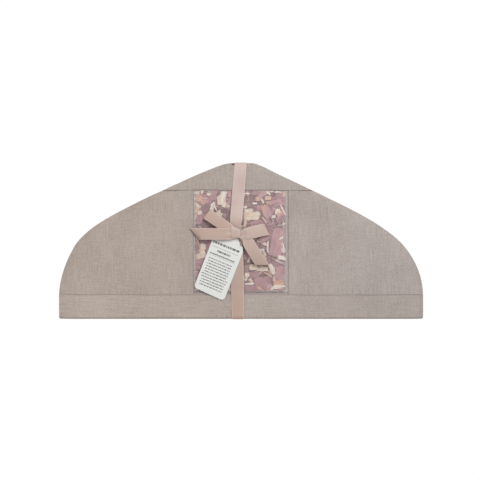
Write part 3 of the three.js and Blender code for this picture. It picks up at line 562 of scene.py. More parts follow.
def band_grid(front):
    """A hem band: from its seam down to the folded edge of the mouth, and back up inside."""
    profile = edge_roll(front)
    half, tuck = COVER_WIDTH / 2, 2.2  # tuck is how much narrower the turned-in cloth is
    rows = [(HEM_SEAM_Y - a, drop, 0.0) for a, drop in seam_turn(front)]
    fold_y = BOTTOM_Y + HEM_ROUND - 0.45
    rows += [(y, 0.0, 0.0) for y in np.linspace(HEM_SEAM_Y - 4, fold_y, 16)]
    way = 1 if front else -1
    for turn in np.radians([15, 30, 45, 60, 75, 90, 110, 130, 155, 180]):
        drop = way * HEM_FOLD * (1 - math.cos(turn))
        rows.append((fold_y - HEM_ROUND * math.sin(turn), drop, math.sin(turn / 2)))
    rows += [(y, way * 2 * HEM_FOLD, 1.0) for y in np.linspace(fold_y + 2, fold_y + HEM_TURN_IN, 10)]
    points, given = [], []
    for y, drop, inside in rows:
        first = half - profile[0][0] - tuck * inside
        turn = [half - a * (1 - inside) - inside * (tuck + 0.04 * i) for i, (a, _) in enumerate(profile[1:])]
        line = [(x, y, drop) for x in np.linspace(-first, first, 121)]
        points.append([(-x, y, 0.0) for x in reversed(turn)] + line + [(x, y, 0.0) for x in turn])
        heights = [z - (drop * 0.5 if inside else 0.0) for _, z in profile[1:]]
        given.append(heights[::-1] + [np.nan] * len(line) + heights)
    grid, given = np.array(points), np.array(given)
    inner = np.array([inside for *_, inside in rows])[:, None] > 0.5
    face = face_height(front, grid[..., 0], grid[..., 1])
    given = np.where(inner & ~np.isnan(given), face - way * 1.25, given)
    return settled(grid, given, front, ((HEM_SEAM_Y, HEM_SEED),), ~inner)


def declare_sheet(piece, grid, strip=False):
    """Takes the steps across and along the cloth's grid, those of a strip along its run and across it, and keeps
    nothing of them. piece is not used."""
    across, along = np.diff(grid, axis=1), np.diff(grid, axis=0)
    if not strip:
        across, along = across[..., [0, 2]], along[..., [1, 2]]


def cloth_piece(name, grid, material, node, slot, thickness=LINEN, flip=False, strip=False):
    piece = fixed(thick_sheet(name, grid, thickness, material, flip=flip), "cover", slot, node)
    declare_sheet(piece, grid, strip)


arch = arch_grid(True, YOKE_SEAM_Y, YOKE_SEED)
cloth_piece("linen_yoke", arch, LINEN_CLOTH, "front_yoke", "linen")
cloth_piece("linen_left", side_grid(-1), LINEN_CLOTH, "front_left_panel", "linen", flip=True)
cloth_piece("linen_right", side_grid(1), LINEN_CLOTH, "front_right_panel", "linen")
band = band_grid(True)
cloth_piece("linen_band_front", band, BAND_CLOTH, "front_hem_band", "linen_band", flip=True)
arch = arch_grid(False, HEM_SEAM_Y, HEM_SEED)
cloth_piece("linen_back", arch, LINEN_CLOTH, "back_panel", "linen", flip=True)
cloth_piece("linen_band_back", band_grid(False), BAND_CLOTH, "back_hem_band", "linen_band")


def allowance_grid(side):
    """The two raw seam allowances, pressed together inside a sewn edge."""
    rows = []
    for (x, y), normal in zip(OUTLINE, OUT_NORMAL):
        if x * side < HOOK_HALF + 1 or y < BOTTOM_Y + 1:
            continue
        fray = 0.25 * math.sin(7.1 * y + x) + 0.2 * math.sin(2.3 * y)
        rows.append([(*((x, y) - normal * inwards), 2.12 + 0.12 * math.sin(0.21 * y + 0.4 * inwards))
                     for inwards in np.linspace(1.6, 11.9 + fray, 9)])
    return np.array(rows)


for side, label in ((-1, "left"), (1, "right")):
    grid = allowance_grid(side)
    cloth_piece(f"allowance_{label}", grid, LINEN_CLOTH, f"seam_{label}", "linen", 0.7, strip=True)


# The pouch --------------------------------------------------------------------


def depth_in_window(x, y):
    return np.minimum(np.minimum(x - left, right - x), np.minimum(y - low, high - y))


def lining_top(x, y):
    share = np.clip(depth_in_window(x, y) / 6, 0, 1)
    return front_under(x, y) - 0.3 - 1.8 * (1 - (1 - share) ** 2)


def flat_grid(start, end, counts):
    return np.meshgrid(*[np.linspace(*ends) for ends in zip(start, end, counts)])


x, y = flat_grid((left - 6, low - 6), (right + 6, high + 6), (50, 54))
lining_grid = np.stack([x, y, lining_top(x, y)], axis=2)
cloth_piece("cotton_lining", lining_grid, COTTON, "pouch_lining", "lining", 0.4)

# Chips. Heartwood tones lie between 0 and 0.6, peach ones near 0.7, and sapwood above 0.8
DARK, BROWN, MAUVE, PINK, PEACH, CREAM, WHITE = 0.12, 0.22, 0.39, 0.53, 0.68, 0.82, 0.97
SAPWOOD = 0.62  # chips of a tone above it go with the sapwood
chance = random.Random(29)


def chip_points(length, width, thickness, curl, jag=0.2):
    """A split chip in its own frame: rows of left, crown and right on top, and left and right below."""
    stations = (-0.5, -0.43, -0.22, 0.02, 0.25, 0.42, 0.5)
    swell = (0.62, 0.86, 1.0, 0.98, 0.97, 0.84, 0.55)
    thin = (0.35, 0.8, 1.0, 1.0, 1.0, 0.75, 0.3)
    bow = chance.uniform(-1, 1) * 0.05 * length
    points = []
    for i, (at, wide, thick) in enumerate(zip(stations, swell, thin)):
        sides = [wide * chance.uniform(1 - jag, 1 + jag * 0.4) * width / 2 for _ in range(2)]
        ends = i in (0, len(stations) - 1)
        slip = [at * length * (1 - (chance.uniform(0, 0.16) if ends else 0)) for _ in range(3)]
        mid = bow * (1 - (2 * at) ** 2) + chance.uniform(-0.03, 0.03) * width
        half = thick * thickness / 2
        first, last = (slip[0], mid - sides[0]), (slip[2], mid + sides[1])
        points += [(*first, half - curl), (slip[1], mid, half), (*last, half - curl)]
        points += [(*last, -half - curl), (*first, -half - curl)]
    return np.array(points)


def chip_faces(start):
    at = lambda i, k: start + 5 * i + k % 5
    ends = [tuple(at(0, k) for k in range(5)), tuple(at(6, k) for k in (4, 3, 2, 1, 0))]
    return ends + [(at(i, k + 1), at(i, k), at(i + 1, k), at(i + 1, k + 1)) for i in range(6) for k in range(5)]


# The pouch's room on a grid: under the sheer front, under the chips laid so far, their tops, and over the lining
STEP = 1.0
room_x, room_y = flat_grid((left, low), (right, high), (int((right - left) / STEP) + 1, int((high - low) / STEP) + 1))
roof = front_under(room_x, room_y) + pouch_height(room_x, room_y) - 0.1
ceiling = roof.copy()
chip_top = np.full(roof.shape, -1.0)
bottom = lining_top(room_x, room_y) + 0.1
CHIPS_CLEAR = (1.6, 2.7, 2.2, 0.0)  # what no chip reaches at the left, right, low and high sides of the pouch


def place_chip(x, y, length, width, turn, thickness, tilt, only_gap):
    """Lays a chip as high as the sheer front and the chips over it let it, but never below the lining."""
    curl = chance.uniform(0.0, 0.5) * min(thickness, width / 9)
    local = chip_points(length, width, thickness, curl)
    c, s = math.cos(turn), math.sin(turn)
    plan = np.stack([c * local[:, 0] - s * local[:, 1] + x, s * local[:, 0] + c * local[:, 1] + y], axis=1)
    limits = ((left + CHIPS_CLEAR[0], right - CHIPS_CLEAR[1]), (low + CHIPS_CLEAR[2], high - CHIPS_CLEAR[3]))
    for axis, (lowest, highest) in enumerate(limits):
        plan[:, axis] += max(0.0, lowest - plan[:, axis].min()) - max(0.0, plan[:, axis].max() - highest)
    x, y = plan[:, 0].mean(), plan[:, 1].mean()
    reach = 3.0
    ground = lambda a, b: float(pouch_height(np.array(a), np.array(b)))
    slope = (
        (ground(x + reach, y) - ground(x - reach, y)) / (2 * reach) + tilt[0],
        (ground(x, y + reach) - ground(x, y - reach)) / (2 * reach) + tilt[1],
    )
    half = int(length / 2 + 3)
    column, row = int((x - left) / STEP), int((y - low) / STEP)
    part = (slice(max(row - half, 0), row + half + 1), slice(max(column - half, 0), column + half + 1))
    dx, dy = room_x[part] - x, room_y[part] - y
    along, across = c * dx + s * dy, -s * dx + c * dy
    covered = (np.abs(along) < length / 2 + 0.4) & (np.abs(across) < width / 2 + 0.4)
    if not covered.any() or (only_gap and (chip_top[part][covered] > 0).mean() > only_gap):
        return None
    plane = slope[0] * dx + slope[1] * dy
    over = float((roof[part] - plane)[covered].min())
    top = float((ceiling[part] - plane)[covered].min())
    lowest = float((bottom[part] - plane)[covered].max()) + thickness + curl
    top = min(max(top, lowest), over)
    under = top - thickness - curl
    z = top - thickness / 2 + local[:, 2] + slope[0] * (plan[:, 0] - x) + slope[1] * (plan[:, 1] - y)
    ceiling[part] = np.where(covered, np.minimum(ceiling[part], under + plane - 0.05), ceiling[part])
    chip_top[part] = np.where(covered, np.maximum(chip_top[part], top + plane), chip_top[part])
    return np.concatenate([plan, z[:, None]], axis=1), local[:, :2]


class ChipLot:
    """Chips of one lot. Those of each wood share a mesh: points, faces, UV pairs and tones."""

    def __init__(self):
        self.piles = {wood: ([], [], [], []) for wood in ("heartwood", "sapwood")}

    def put(self, x, y, length, width, degrees, tone, thickness, only_gap=0.0):
        tilt = (chance.uniform(-0.11, 0.11), chance.uniform(-0.11, 0.11))
        made = place_chip(x, y, length, width, math.radians(degrees), thickness, tilt, only_gap)
        if made is None:
            return
        placed, local = made
        points, faces, uv, tones = self.piles["sapwood" if tone > SAPWOOD else "heartwood"]
        faces += chip_faces(len(points))
        points += placed.tolist()
        offset = np.array([chance.uniform(0, 900), chance.uniform(0, 900)])
        uv += ((local + offset) * MM).tolist()
        run, side = (part / max(np.abs(part).max(), 0.1) for part in local.T)
        own = tone + chance.uniform(-0.05, 0.05)
        tones += (own + chance.uniform(-0.07, 0.07) * run + chance.uniform(-0.07, 0.07) * side).tolist()

    def pieces(self, label, kind, count, sapwood):
        """One piece for each wood. sapwood numbers the nodes of that wood."""
        for wood, (points, faces, uv, tones) in self.piles.items():
            nodes = [f"cedar_{kind}_{n:02d}" for n in range(1, count + 1) if (n in sapwood) == (wood == "sapwood")]
            piece = new_mesh(f"{label}_{wood}", points, faces, CEDAR, uv, tones, smooth=False)
            fixed(piece, "cover", wood, *nodes)


# The chips that show, as the photograph has them: middle x and y, length, width, turn in degrees, wood
SHOWN_CHIPS = (
    (-54.7, 60.2, 5.6, 3.8, 0, CREAM), (-54.7, 53.8, 10.0, 8.2, 60, PEACH), (-46.9, 57.4, 8.8, 6.3, -20, MAUVE),
    (-48.3, 59.3, 5.0, 2.5, 0, CREAM), (-40.5, 58.3, 5.6, 4.4, 0, CREAM), (-45.9, 50.5, 11.3, 8.8, 10, PINK),
    (-46.5, 46.4, 10.0, 3.3, -5, CREAM), (-35.0, 56.1, 10.0, 10.0, 0, MAUVE), (-37.3, 51.4, 12.5, 6.3, 40, MAUVE),
    (-23.5, 53.3, 20.0, 12.0, 80, CREAM), (-21.6, 45.0, 7.5, 5.6, 80, CREAM), (-18.3, 52.4, 5.0, 3.8, 0, PINK),
    (-44.2, 40.3, 12.5, 10.0, 60, BROWN), (-32.6, 43.1, 12.5, 1.6, -70, WHITE), (-35.9, 44.1, 10.0, 1.5, 60, WHITE),
    (-16.1, 43.1, 5.0, 3.8, 0, CREAM), (-53.8, 44.1, 8.8, 3.8, -30, CREAM), (-51.9, 35.3, 6.3, 5.0, 0, CREAM),
    (-29.0, 41.3, 8.8, 6.3, 0, DARK), (-21.6, 37.6, 12.5, 5.6, 0, DARK), (-52.9, 28.4, 16.3, 11.3, 80, MAUVE),
    (-56.6, 30.3, 7.5, 2.0, 80, PEACH), (-51.1, 20.1, 15.1, 7.5, 0, DARK), (-38.5, 20.5, 15.0, 10.0, 15, BROWN),
    (-37.5, -3.5, 12.0, 8.0, 70, PINK), (-16.1, 32.1, 10.0, 3.8, 80, BROWN), (7.9, 58.8, 8.2, 1.6, 0, WHITE),
    (17.1, 60.7, 10.0, 6.3, 0, MAUVE), (27.2, 59.7, 10.0, 7.5, 0, PINK), (34.5, 59.7, 7.5, 1.9, -45, WHITE),
    (39.1, 58.8, 6.3, 5.0, 0, DARK), (46.0, 60.7, 8.8, 1.9, 0, WHITE), (53.8, 58.3, 7.5, 5.0, 60, PEACH),
    (9.7, 52.4, 13.8, 8.8, 0, BROWN), (20.7, 52.4, 6.3, 5.6, 0, PEACH), (26.7, 49.6, 7.5, 3.1, -60, CREAM),
    (33.6, 53.3, 8.8, 5.6, 0, PEACH), (48.3, 56.0, 10.0, 6.3, 0, MAUVE), (42.8, 49.1, 25.1, 5.0, 8, PINK),
    (46.5, 44.1, 21.3, 3.8, 10, PINK), (52.1, 50.5, 7.5, 7.5, 0, MAUVE), (11.5, 45.0, 18.8, 8.2, -20, BROWN),
    (17.1, 46.9, 6.3, 2.5, 0, WHITE), (5.1, 42.2, 5.0, 3.1, 0, CREAM), (22.6, 41.3, 8.8, 7.5, 0, PINK),
    (32.7, 36.7, 18.8, 11.3, -65, PINK), (13.4, 31.7, 22.6, 11.9, 3, CREAM), (17.9, 22.9, 15.1, 6.3, 20, MAUVE),
    (4.6, 21.0, 10.0, 3.8, 80, PEACH), (46.0, 35.8, 8.8, 6.3, 80, CREAM), (52.9, 37.6, 13.8, 1.5, -60, WHITE),
    (50.2, 43.1, 10.0, 1.3, -60, WHITE), (41.4, 30.3, 5.6, 3.8, 0, WHITE), (49.3, 25.7, 11.3, 8.8, 0, MAUVE),
    (41.4, 24.8, 7.5, 5.0, 0, DARK), (33.6, 26.5, 11.3, 5.0, -60, MAUVE), (29.0, 25.7, 8.8, 1.5, -55, CREAM),
    (45.2, -2.3, 40.1, 17.6, 80, PINK), (33.6, -7.8, 15.7, 2.5, 88, WHITE), (27.2, -2.3, 15.1, 4.4, -28, CREAM),
    (26.2, -11.5, 6.3, 3.8, 0, WHITE), (30.0, -20.8, 7.5, 3.8, -60, PEACH), (43.8, -27.2, 11.3, 6.3, 0, MAUVE),
    (48.3, -26.3, 15.1, 1.0, -20, WHITE), (38.3, -35.4, 15.1, 5.6, -65, CREAM), (49.3, -40.1, 20.1, 11.3, 80, PINK),
    (42.8, -47.5, 10.0, 5.6, 80, PEACH), (46.0, -58.0, 13.2, 5.3, 3, CREAM), (33.1, -61.8, 11.3, 10.0, -30, PINK),
    (27.2, -51.1, 21.3, 13.8, 10, MAUVE), (29.0, -43.7, 12.5, 5.0, 0, DARK), (33.6, -42.8, 12.5, 1.9, -30, PEACH),
    (15.2, -43.7, 11.3, 8.8, 0, MAUVE), (7.4, -42.8, 6.3, 6.3, 0, CREAM), (15.2, -32.7, 11.3, 7.5, 0, CREAM),
    (26.2, -35.4, 15.1, 6.3, 0, CREAM), (6.5, -35.4, 11.3, 7.5, 80, MAUVE), (6.0, -18.9, 10.0, 7.5, 80, PINK),
    (9.7, -23.5, 7.5, 3.1, 70, CREAM), (10.7, -53.4, 12.5, 2.0, 3, WHITE), (11.5, -59.4, 16.3, 10.0, 0, MAUVE),
    (4.1, 14.2, 6.3, 3.8, 60, PEACH), (53.4, -7.8, 11.3, 1.5, -70, WHITE), (50.2, 3.2, 6.3, 2.5, 35, WHITE),
    (-53.8, -2.3, 16.3, 2.0, -70, 0.63), (-55.7, 2.3, 6.3, 5.0, 0, DARK), (-46.4, -1.4, 11.3, 7.5, 0, MAUVE),
    (-47.4, -7.0, 7.5, 7.5, 0, CREAM), (-50.6, -16.1, 13.8, 12.8, 30, 0.7), (-51.9, -27.2, 11.3, 8.8, 0, MAUVE),
    (-56.1, -39.2, 5.0, 3.8, 0, PINK), (-54.7, -33.7, 8.8, 5.0, 0, PINK),
)

shown, filling = ChipLot(), ChipLot()
# Slivers lie on top, then small pale chips
for chip in sorted(SHOWN_CHIPS, key=lambda chip: 0 if chip[3] < 2.4 else 1 if chip[5] > 0.6 and chip[2] < 16 else 2):
    shown.put(*chip, min(1.3, 0.35 + chip[3] * 0.12))

WOODS = (BROWN, BROWN, MAUVE, MAUVE, MAUVE, MAUVE, PINK, PINK, PEACH, CREAM, CREAM, WHITE)
# The filling below: length, width, how much of a chip may lie under others, and how many are tried
FILLING = ((17, 9, 0.45, 160), (13, 6.5, 0.6, 160), (9, 4.5, 0.7, 200), (6, 3.2, 0.75, 200))
for length, width, only_gap, count in FILLING:
    for _ in range(count):
        bare = np.argwhere((chip_top < 0) & (room_x > left + 3) & (room_x < right - 5) & (room_y > low + 5))
        if not len(bare):
            break
        row, column = bare[chance.randrange(len(bare))]
        long, wide = length * chance.uniform(0.75, 1.25), width * chance.uniform(0.6, 1.2)
        degrees, wood, thick = chance.uniform(0, 360), chance.choice(WOODS), chance.uniform(0.7, 1.3)
        filling.put(room_x[row, column], room_y[row, column], long, wide, degrees, wood, thick, only_gap)

shown.pieces("chips", "chip", 24, (1, 3, 8, 10, 12, 17, 19, 21, 24))
filling.pieces("filling", "block", 12, (2, 5, 8, 11))


def chip_blank():
    """One plain chip, a millimetre thick, that the filling's bed repeats. It isn't part of the object."""
    plan = np.array([(-0.5, -0.3), (-0.2, -0.5), (0.3, -0.46), (0.5, -0.2), (0.46, 0.26), (0.1, 0.5), (-0.36, 0.44)])
    count = len(plan)
    points = np.array([(*(place * (13.0, 6.5)), z) for z in (0.5, -0.5) for place in plan])
    faces = [tuple(range(count)), tuple(range(2 * count - 1, count - 1, -1))]
    faces += [(i, i + count, (i + 1) % count + count, (i + 1) % count) for i in range(count)]
    return new_mesh("chip_blank", points, faces, CEDAR, points[:, :2] * MM, smooth=False)


def filling_tree():
    """Scatters chips over a surface, each turned and scaled by chance, and gives each a dark heartwood tone, partly
    painted shade for the gaps deep among the chips.
    """
    tree = bpy.data.node_groups.new("cedar_filling", "GeometryNodeTree")
    ports = {}
    sockets = {"Bed": "Geometry", "Chip": "Object", "Spacing": "Float", "Tilt": "Float", "Seed": "Int"}
    for name, kind in sockets.items():
        ports[name] = tree.interface.new_socket(name, in_out="INPUT", socket_type=f"NodeSocket{kind}").identifier
    tree.interface.new_socket("Filling", in_out="OUTPUT", socket_type="NodeSocketGeometry")
    given = add(tree, "NodeGroupInput").outputs
    random_vector = lambda least, most, seed: add(
        tree, "FunctionNodeRandomValue", {0: least, 1: most, "Seed": seed}, data_type="FLOAT_VECTOR"
    ).outputs[0]
    scattered = add(tree, "GeometryNodeDistributePointsOnFaces", {
        "Mesh": given["Bed"], "Distance Min": given["Spacing"], "Density Max": 1e6, "Seed": given["Seed"],
    }, distribute_method="POISSON").outputs
    less = math_of(tree, "MULTIPLY", given["Tilt"], -1.0)
    least = add(tree, "ShaderNodeCombineXYZ", {0: less, 1: less, 2: 0.0}).outputs[0]
    most = add(tree, "ShaderNodeCombineXYZ", {0: given["Tilt"], 1: given["Tilt"], 2: 2 * math.pi}).outputs[0]
    lie = add(tree, "FunctionNodeRotateRotation", {
        "Rotation": scattered["Rotation"], "Rotate By": random_vector(least, most, given["Seed"]),
    }, rotation_space="LOCAL")
    laid = add(tree, "GeometryNodeInstanceOnPoints", {
        "Points": scattered["Points"],
        "Instance": add(tree, "GeometryNodeObjectInfo", {"Object": given["Chip"]}).outputs["Geometry"],
        "Rotation": lie.outputs[0],
        "Scale": random_vector((0.6, 0.6, 0.8), (1.3, 1.3, 1.2), 7),
    })
    # Only the darker heartwood tones: real chips below, partly painted shade for the gaps among those above
    wood = add(tree, "FunctionNodeRandomValue", {2: 0.05, 3: 0.5, "Seed": 3}, data_type="FLOAT")
    toned = add(tree, "GeometryNodeStoreNamedAttribute", {
        "Geometry": laid.outputs[0], "Name": "tone", "Value": wood.outputs[1],
    }, data_type="FLOAT", domain="INSTANCE")
    real = add(tree, "GeometryNodeRealizeInstances", {"Geometry": toned.outputs[0]})
    dressed = add(tree, "GeometryNodeSetMaterial", {"Geometry": real.outputs[0], "Material": CEDAR})
    add(tree, "NodeGroupOutput", {0: dressed.outputs[0]})
    return tree, ports


def grown(name, base, tree, ports, values):
    """Runs a node tree on base with those inputs, and keeps the result as a plain mesh."""
    modifier = base.modifiers.new(name, "NODES")
    modifier.node_group = tree
    for port, value in values.items():
        modifier[ports[port]] = value
    bpy.context.view_layer.update()
    made = bpy.data.meshes.new_from_object(base.evaluated_get(bpy.context.evaluated_depsgraph_get()))
    made.name = name
    base.modifiers.remove(modifier)
    bpy.data.objects.remove(base)
    return linked(name, made)


wide, tall = 22, 24
x, y = flat_grid((left + 7, low + 9), (right - 9, high - 6), (wide, tall))
bed_floor = lining_top(x, y)
bed_room = front_under(x, y) + pouch_height(x, y) - bed_floor
points = np.stack([x, y, bed_floor + 0.14 * bed_room + 0.25], axis=2).reshape(-1, 3)
starts = [row * wide + column for row in range(tall - 1) for column in range(wide - 1)]
bed = new_mesh("bed", points, [(i, i + 1, i + wide + 1, i + wide) for i in starts], CEDAR)
blank = chip_blank()
values = {"Chip": blank, "Spacing": 0.0052, "Tilt": 0.06, "Seed": 4}
fixed(grown("filling_bed", bed, *filling_tree(), values), "cover", "heartwood")
bpy.data.objects.remove(blank)


def stretched_over(obstacle, edge):
    """A membrane over what it covers, held at its border."""
    height = np.maximum(obstacle, edge)
    for _ in range(260):
        mean = (height[:-2, 1:-1] + height[2:, 1:-1] + height[1:-1, :-2] + height[1:-1, 2:]) / 4
        height[1:-1, 1:-1] = np.maximum(obstacle[1:-1, 1:-1], mean)
    return height


under = front_under(room_x, room_y)
sheer_limit = under + pouch_height(room_x, room_y) + 0.45
rim = under + 0.1
rim[1:-1, 1:-1] = -1
cover_height = np.minimum(stretched_over(np.where(chip_top > 0, chip_top + 0.15, -1), rim), sheer_limit)
crease = 0.1 * np.sin(room_x / 3.1 + 0.8 * np.sin(room_y / 9)) * np.sin(room_y / 17 + 1)
cover_height = np.minimum(cover_height + crease * np.clip(depth_in_window(room_x, room_y) / 6, 0, 1), sheer_limit)
SHEER_SLOT = (0.35, 0.3, 0.25, 0.35)  # how far short of the cloth the sheer front stops at each side
organza_x = lerp(left + SHEER_SLOT[0], right - SHEER_SLOT[1], (room_x - left) / (right - left))
organza_y = lerp(low + SHEER_SLOT[2], high - SHEER_SLOT[3], (room_y - low) / (high - low))
organza_grid = np.stack([organza_x, organza_y, cover_height + ORGANZA / 2], axis=2)
# Where the sheer cloth has puckered and lies doubled: points along each pucker
PUCKERS = (
    ((34.2, -18.8), (38.4, -21.6), (42.3, -24.1), (48.2, -27.7), (54.1, -30.1), (56.7, -29.1)),
    ((-57.0, 48.6), (-54.2, 46.6), (-51.6, 43.4), (-50.3, 40.0)),
    ((49.3, 28.8), (52.2, 26.4), (53.0, 23.2), (51.3, 20.0), (48.0, 18.6), (44.6, 19.4)),
    ((-50.6, 54.6), (-47.5, 52.6), (-43.7, 52.4), (-41.0, 54.4)),
    ((20.5, 58.2), (24.6, 55.6), (27.0, 51.8)),
    ((-54.5, 16.5), (-51.0, 14.4), (-48.4, 11.0)),
)


def sheer_height(x, y):
    """The sheer front's top at a place, from its grid."""
    column = min(max((x - left) / STEP, 0), room_x.shape[1] - 1.001)
    row = min(max((y - low) / STEP, 0), room_x.shape[0] - 1.001)
    c, r = int(column), int(row)
    near = [lerp(cover_height[r + k, c], cover_height[r + k, c + 1], column - c) for k in (0, 1)]
    return lerp(near[0], near[1], row - r) + ORGANZA


def pucker_grid(stops):
    """A narrow, doubled strip along the stops, pinched at both ends, that stands a little above the cloth."""
    stops = np.array(stops)
    run = np.concatenate([[0], np.cumsum(np.linalg.norm(np.diff(stops, axis=0), axis=1))])
    at = np.linspace(0, run[-1], 40)
    line = np.stack([np.interp(at, run, stops[:, k]) for k in (0, 1)], axis=1)
    for _ in range(12):
        line[1:-1] = (line[:-2] + 2 * line[1:-1] + line[2:]) / 4
    along = np.gradient(line, axis=0)
    along /= np.linalg.norm(along, axis=1, keepdims=True)
    rows = []
    for i, ((x, y), (run_x, run_y)) in enumerate(zip(line, along)):
        wide = 0.34 * math.sqrt(max(math.sin(math.pi * (i + 0.5) / len(line)), 0.05))
        rows.append([])
        for share in (1, 0.5, 0, -0.5, -1):
            px, py = x - run_y * share * wide, y + run_x * share * wide
            rows[-1].append((px, py, sheer_height(px, py) + 0.06 + 0.22 * (1 - share**2)))
    return np.array(rows)


def sheer_front():
    """The sheer front with its puckers, which are marked by the tone attribute."""
    main = thick_sheet("organza_window", organza_grid, ORGANZA, ORGANZA_CLOTH, share=0.5, tone=0.0)
    for i, stops in enumerate(PUCKERS):
        part = thick_sheet(f"pucker_{i}", pucker_grid(stops), 0.05, ORGANZA_CLOTH, share=0.0, tone=1.0)
        with bpy.context.temp_override(active_object=main, selected_editable_objects=[main, part]):
            bpy.ops.object.join()
    return main


organza = fixed(sheer_front(), "cover", "sheer", "sheer_window")
declare_sheet(organza, organza_grid)

# A folded edge in section, from the fold's foot round to where it meets the lower layer: share of its reach, height
BAG_FOLD = ((0.05, -0.05), (0.5, -0.02), (0.94, -0.05), (1.0, -0.13), (0.94, -0.2), (0.5, -0.22), (0.08, -0.23))


def bag_edge(name, start, end, inward, reach, cloth):
    """A folded edge of the organza bag. It lies doubled beside the chips, and its lower layer runs in under them."""
    rows = []
    for t in np.linspace(0, 1, 120):
        place = lerp(np.array(start), np.array(end), t)
        wide = reach * (1 + 0.09 * math.sin(9 * t) + 0.05 * math.sin(31 * t))
        fold = [(place + np.array(inward) * share * wide, z) for share, z in BAG_FOLD]
        under = [place + np.array(inward) * run for run in (0.1, *range(1, 9))]
        rows.append([(*at, front_under(*at) + z) for at, z in fold] + [(*at, lining_top(*at) + 0.12) for at in under])
    grid = np.array(rows)
    piece = fixed(thick_sheet(name, grid, ORGANZA * 0.8, cloth, share=0.5), "cover", "sheer")
    declare_sheet(piece, grid, strip=True)


bag_edge("organza_fold_left", (left + 0.9, low + 3.0), (left + 0.9, high - 0.5), (1, 0), 1.9, ORGANZA_EDGE)
bag_edge("organza_fold_right", (right - 1.1, low + 1.0), (right - 1.1, high - 0.5), (-1, 0), 2.4, ORGANZA_EDGE)
bag_edge("organza_fold_low", (left + 1.0, low + 0.5), (right - 4.7, low + 0.5), (0, 1), 2.0, ORGANZA_CLOTH)


def bar_tack_painted_shade(name, middle, wide):
    """Close stitches over the end of the opening for the hanger's hook. Their dark thread is partly painted shade for
    the shade in the opening.
    """
    x, y = np.meshgrid(middle + np.array([1, 0.6, 0, -0.6, -1]) * wide / 2, np.linspace(TOP_Y - 0.3, TOP_Y - 2.4, 9))
    swell = np.outer([0.2] + [1.0] * 7 + [0.2], [0.0, 0.2, 0.28, 0.2, 0.0])
    grid = np.stack([x, y, linen_top(x, np.minimum(y, TOP_Y - 0.7)) + 0.12 + swell], axis=2)
    fixed(thick_sheet(name, grid, 0.1, THREAD, share=0.0), "cover", "linen")


bar_tack_painted_shade("bar_tack_a", -10.7, 1.7)
bar_tack_painted_shade("bar_tack_b", -8.9, 1.5)


# Ribbon -----------------------------------------------------------------------

OUTER_Y = TOP_Y + 0.525
EDGE_TURN = 0.45  # radius of the ribbon's turn over the cover's edge
# The ribbon over the front, by height: its middle, then its width
UPPER_RUN = (
    ((9.5, 15.5, 22.2, 46.6, 63.7, 97.5), (-8.6, -8.0, -6.7, -4.5, -3.3, -0.6)),
    ((9.5, 15.5, 22, 34, 80, 96), (8.6, 11.2, 14.4, RIBBON_WIDTH, RIBBON_WIDTH, 14.9)),
)
LOWER_RUN = (
    ((-96.5, -60.0, -44.2, 2.0), (-4.1, -4.4, -4.7, -5.6)),
    ((-96, -84, -30, -8, 4), (15.0, 15.8, 15.8, 15.1, 13.5)),
)


def ribbon_grid(line, crown=0.12, cord=0.1):
    """line holds (middle, across, width, lift direction) along a ribbon. Its edge cords stand a little proud."""
    middle, across, width, up = (np.array(part, float).reshape(len(line), 1, -1) for part in zip(*line))
    share = np.linspace(-1, 1, 17)[:, None]
    proud = crown * (1 - share**2) + cord * np.exp(-(((1 - abs(share)) * width) ** 2))
    run = np.cumsum(np.linalg.norm(np.diff(middle, axis=0, prepend=middle[:1]), axis=2))
    uv = np.stack(np.broadcast_arrays(run[:, None], share[:, 0] * RIBBON_WIDTH / 2), axis=2)
    return middle + across * share * width / 2 + up * proud, uv


def satin_piece(name, grid, uv, node, held, *rests_on, flip=False, tone=0.0):
    sheet = thick_sheet(name, grid, RIBBON, SATIN, share=0.5, uv=uv, flip=flip, tone=tone)
    declare_sheet(fixed(sheet, "cover", "satin", node), grid, strip=True)


def front_run(upper):
    way, (middles, widths) = (1, UPPER_RUN) if upper else (-1, LOWER_RUN)
    line = []
    for y in np.linspace(10.5 if upper else 9.2, way * (OUTER_Y - 0.55), 64):
        x, width = np.interp(y, *middles), np.interp(y, *widths)
        z = max(front_bed(x + v, y) for v in (-7, -3.5, 0, 3.5, 7)) + RUN_LIFT
        z += 0.1 * math.sin(y / 6.3) * (1 - smoothstep(abs(y), 88, 98))
        if upper:  # it arches over to the knot and dives under it
            z += 2.3 * smoothstep(-y, -46.0, -27.0) * smoothstep(y, 12.0, 26.0)
        line.append(((x, y, z), ACROSS, width, UP))
    turns = [(math.sin(a), math.cos(a)) for a in np.radians([30, 60, 90])]
    for s, c in turns:  # over the edge
        line.append(((x, y + way * EDGE_TURN * s * 1.2, z - EDGE_TURN * (1 - c)), ACROSS, width, (0, way * s, c)))
    _, y, z = line[-1][0]
    line += [((x, y, height), ACROSS, width, (0, way, 0)) for height in np.linspace(z - 0.8, BEHIND_Z + 1, 8)]
    for s, c in turns:  # and under
        line.append(((x, y - way * EDGE_TURN * (1 - c), BEHIND_Z + 1 - s), ACROSS, width, (0, way * c, -s)))
    return line


for label, upper in (("upper", True), ("lower", False)):
    satin_piece(f"ribbon_{label}", *ribbon_grid(front_run(upper)), f"ribbon_front_{label}", "stretched",
                "linen_yoke", "organza_window", "linen_band_front", flip=not upper)

line = [((np.interp(y, (-98, 98), RUN_BEHIND), y, BEHIND_Z), ACROSS, RIBBON_WIDTH, -UP)
        for y in np.linspace(1.2 - OUTER_Y, OUTER_Y - 1.2, 40)]
satin_piece("ribbon_behind", *ribbon_grid(line, 0.0, 0.03), "ribbon_back", "stretched", "floor", "linen_back")

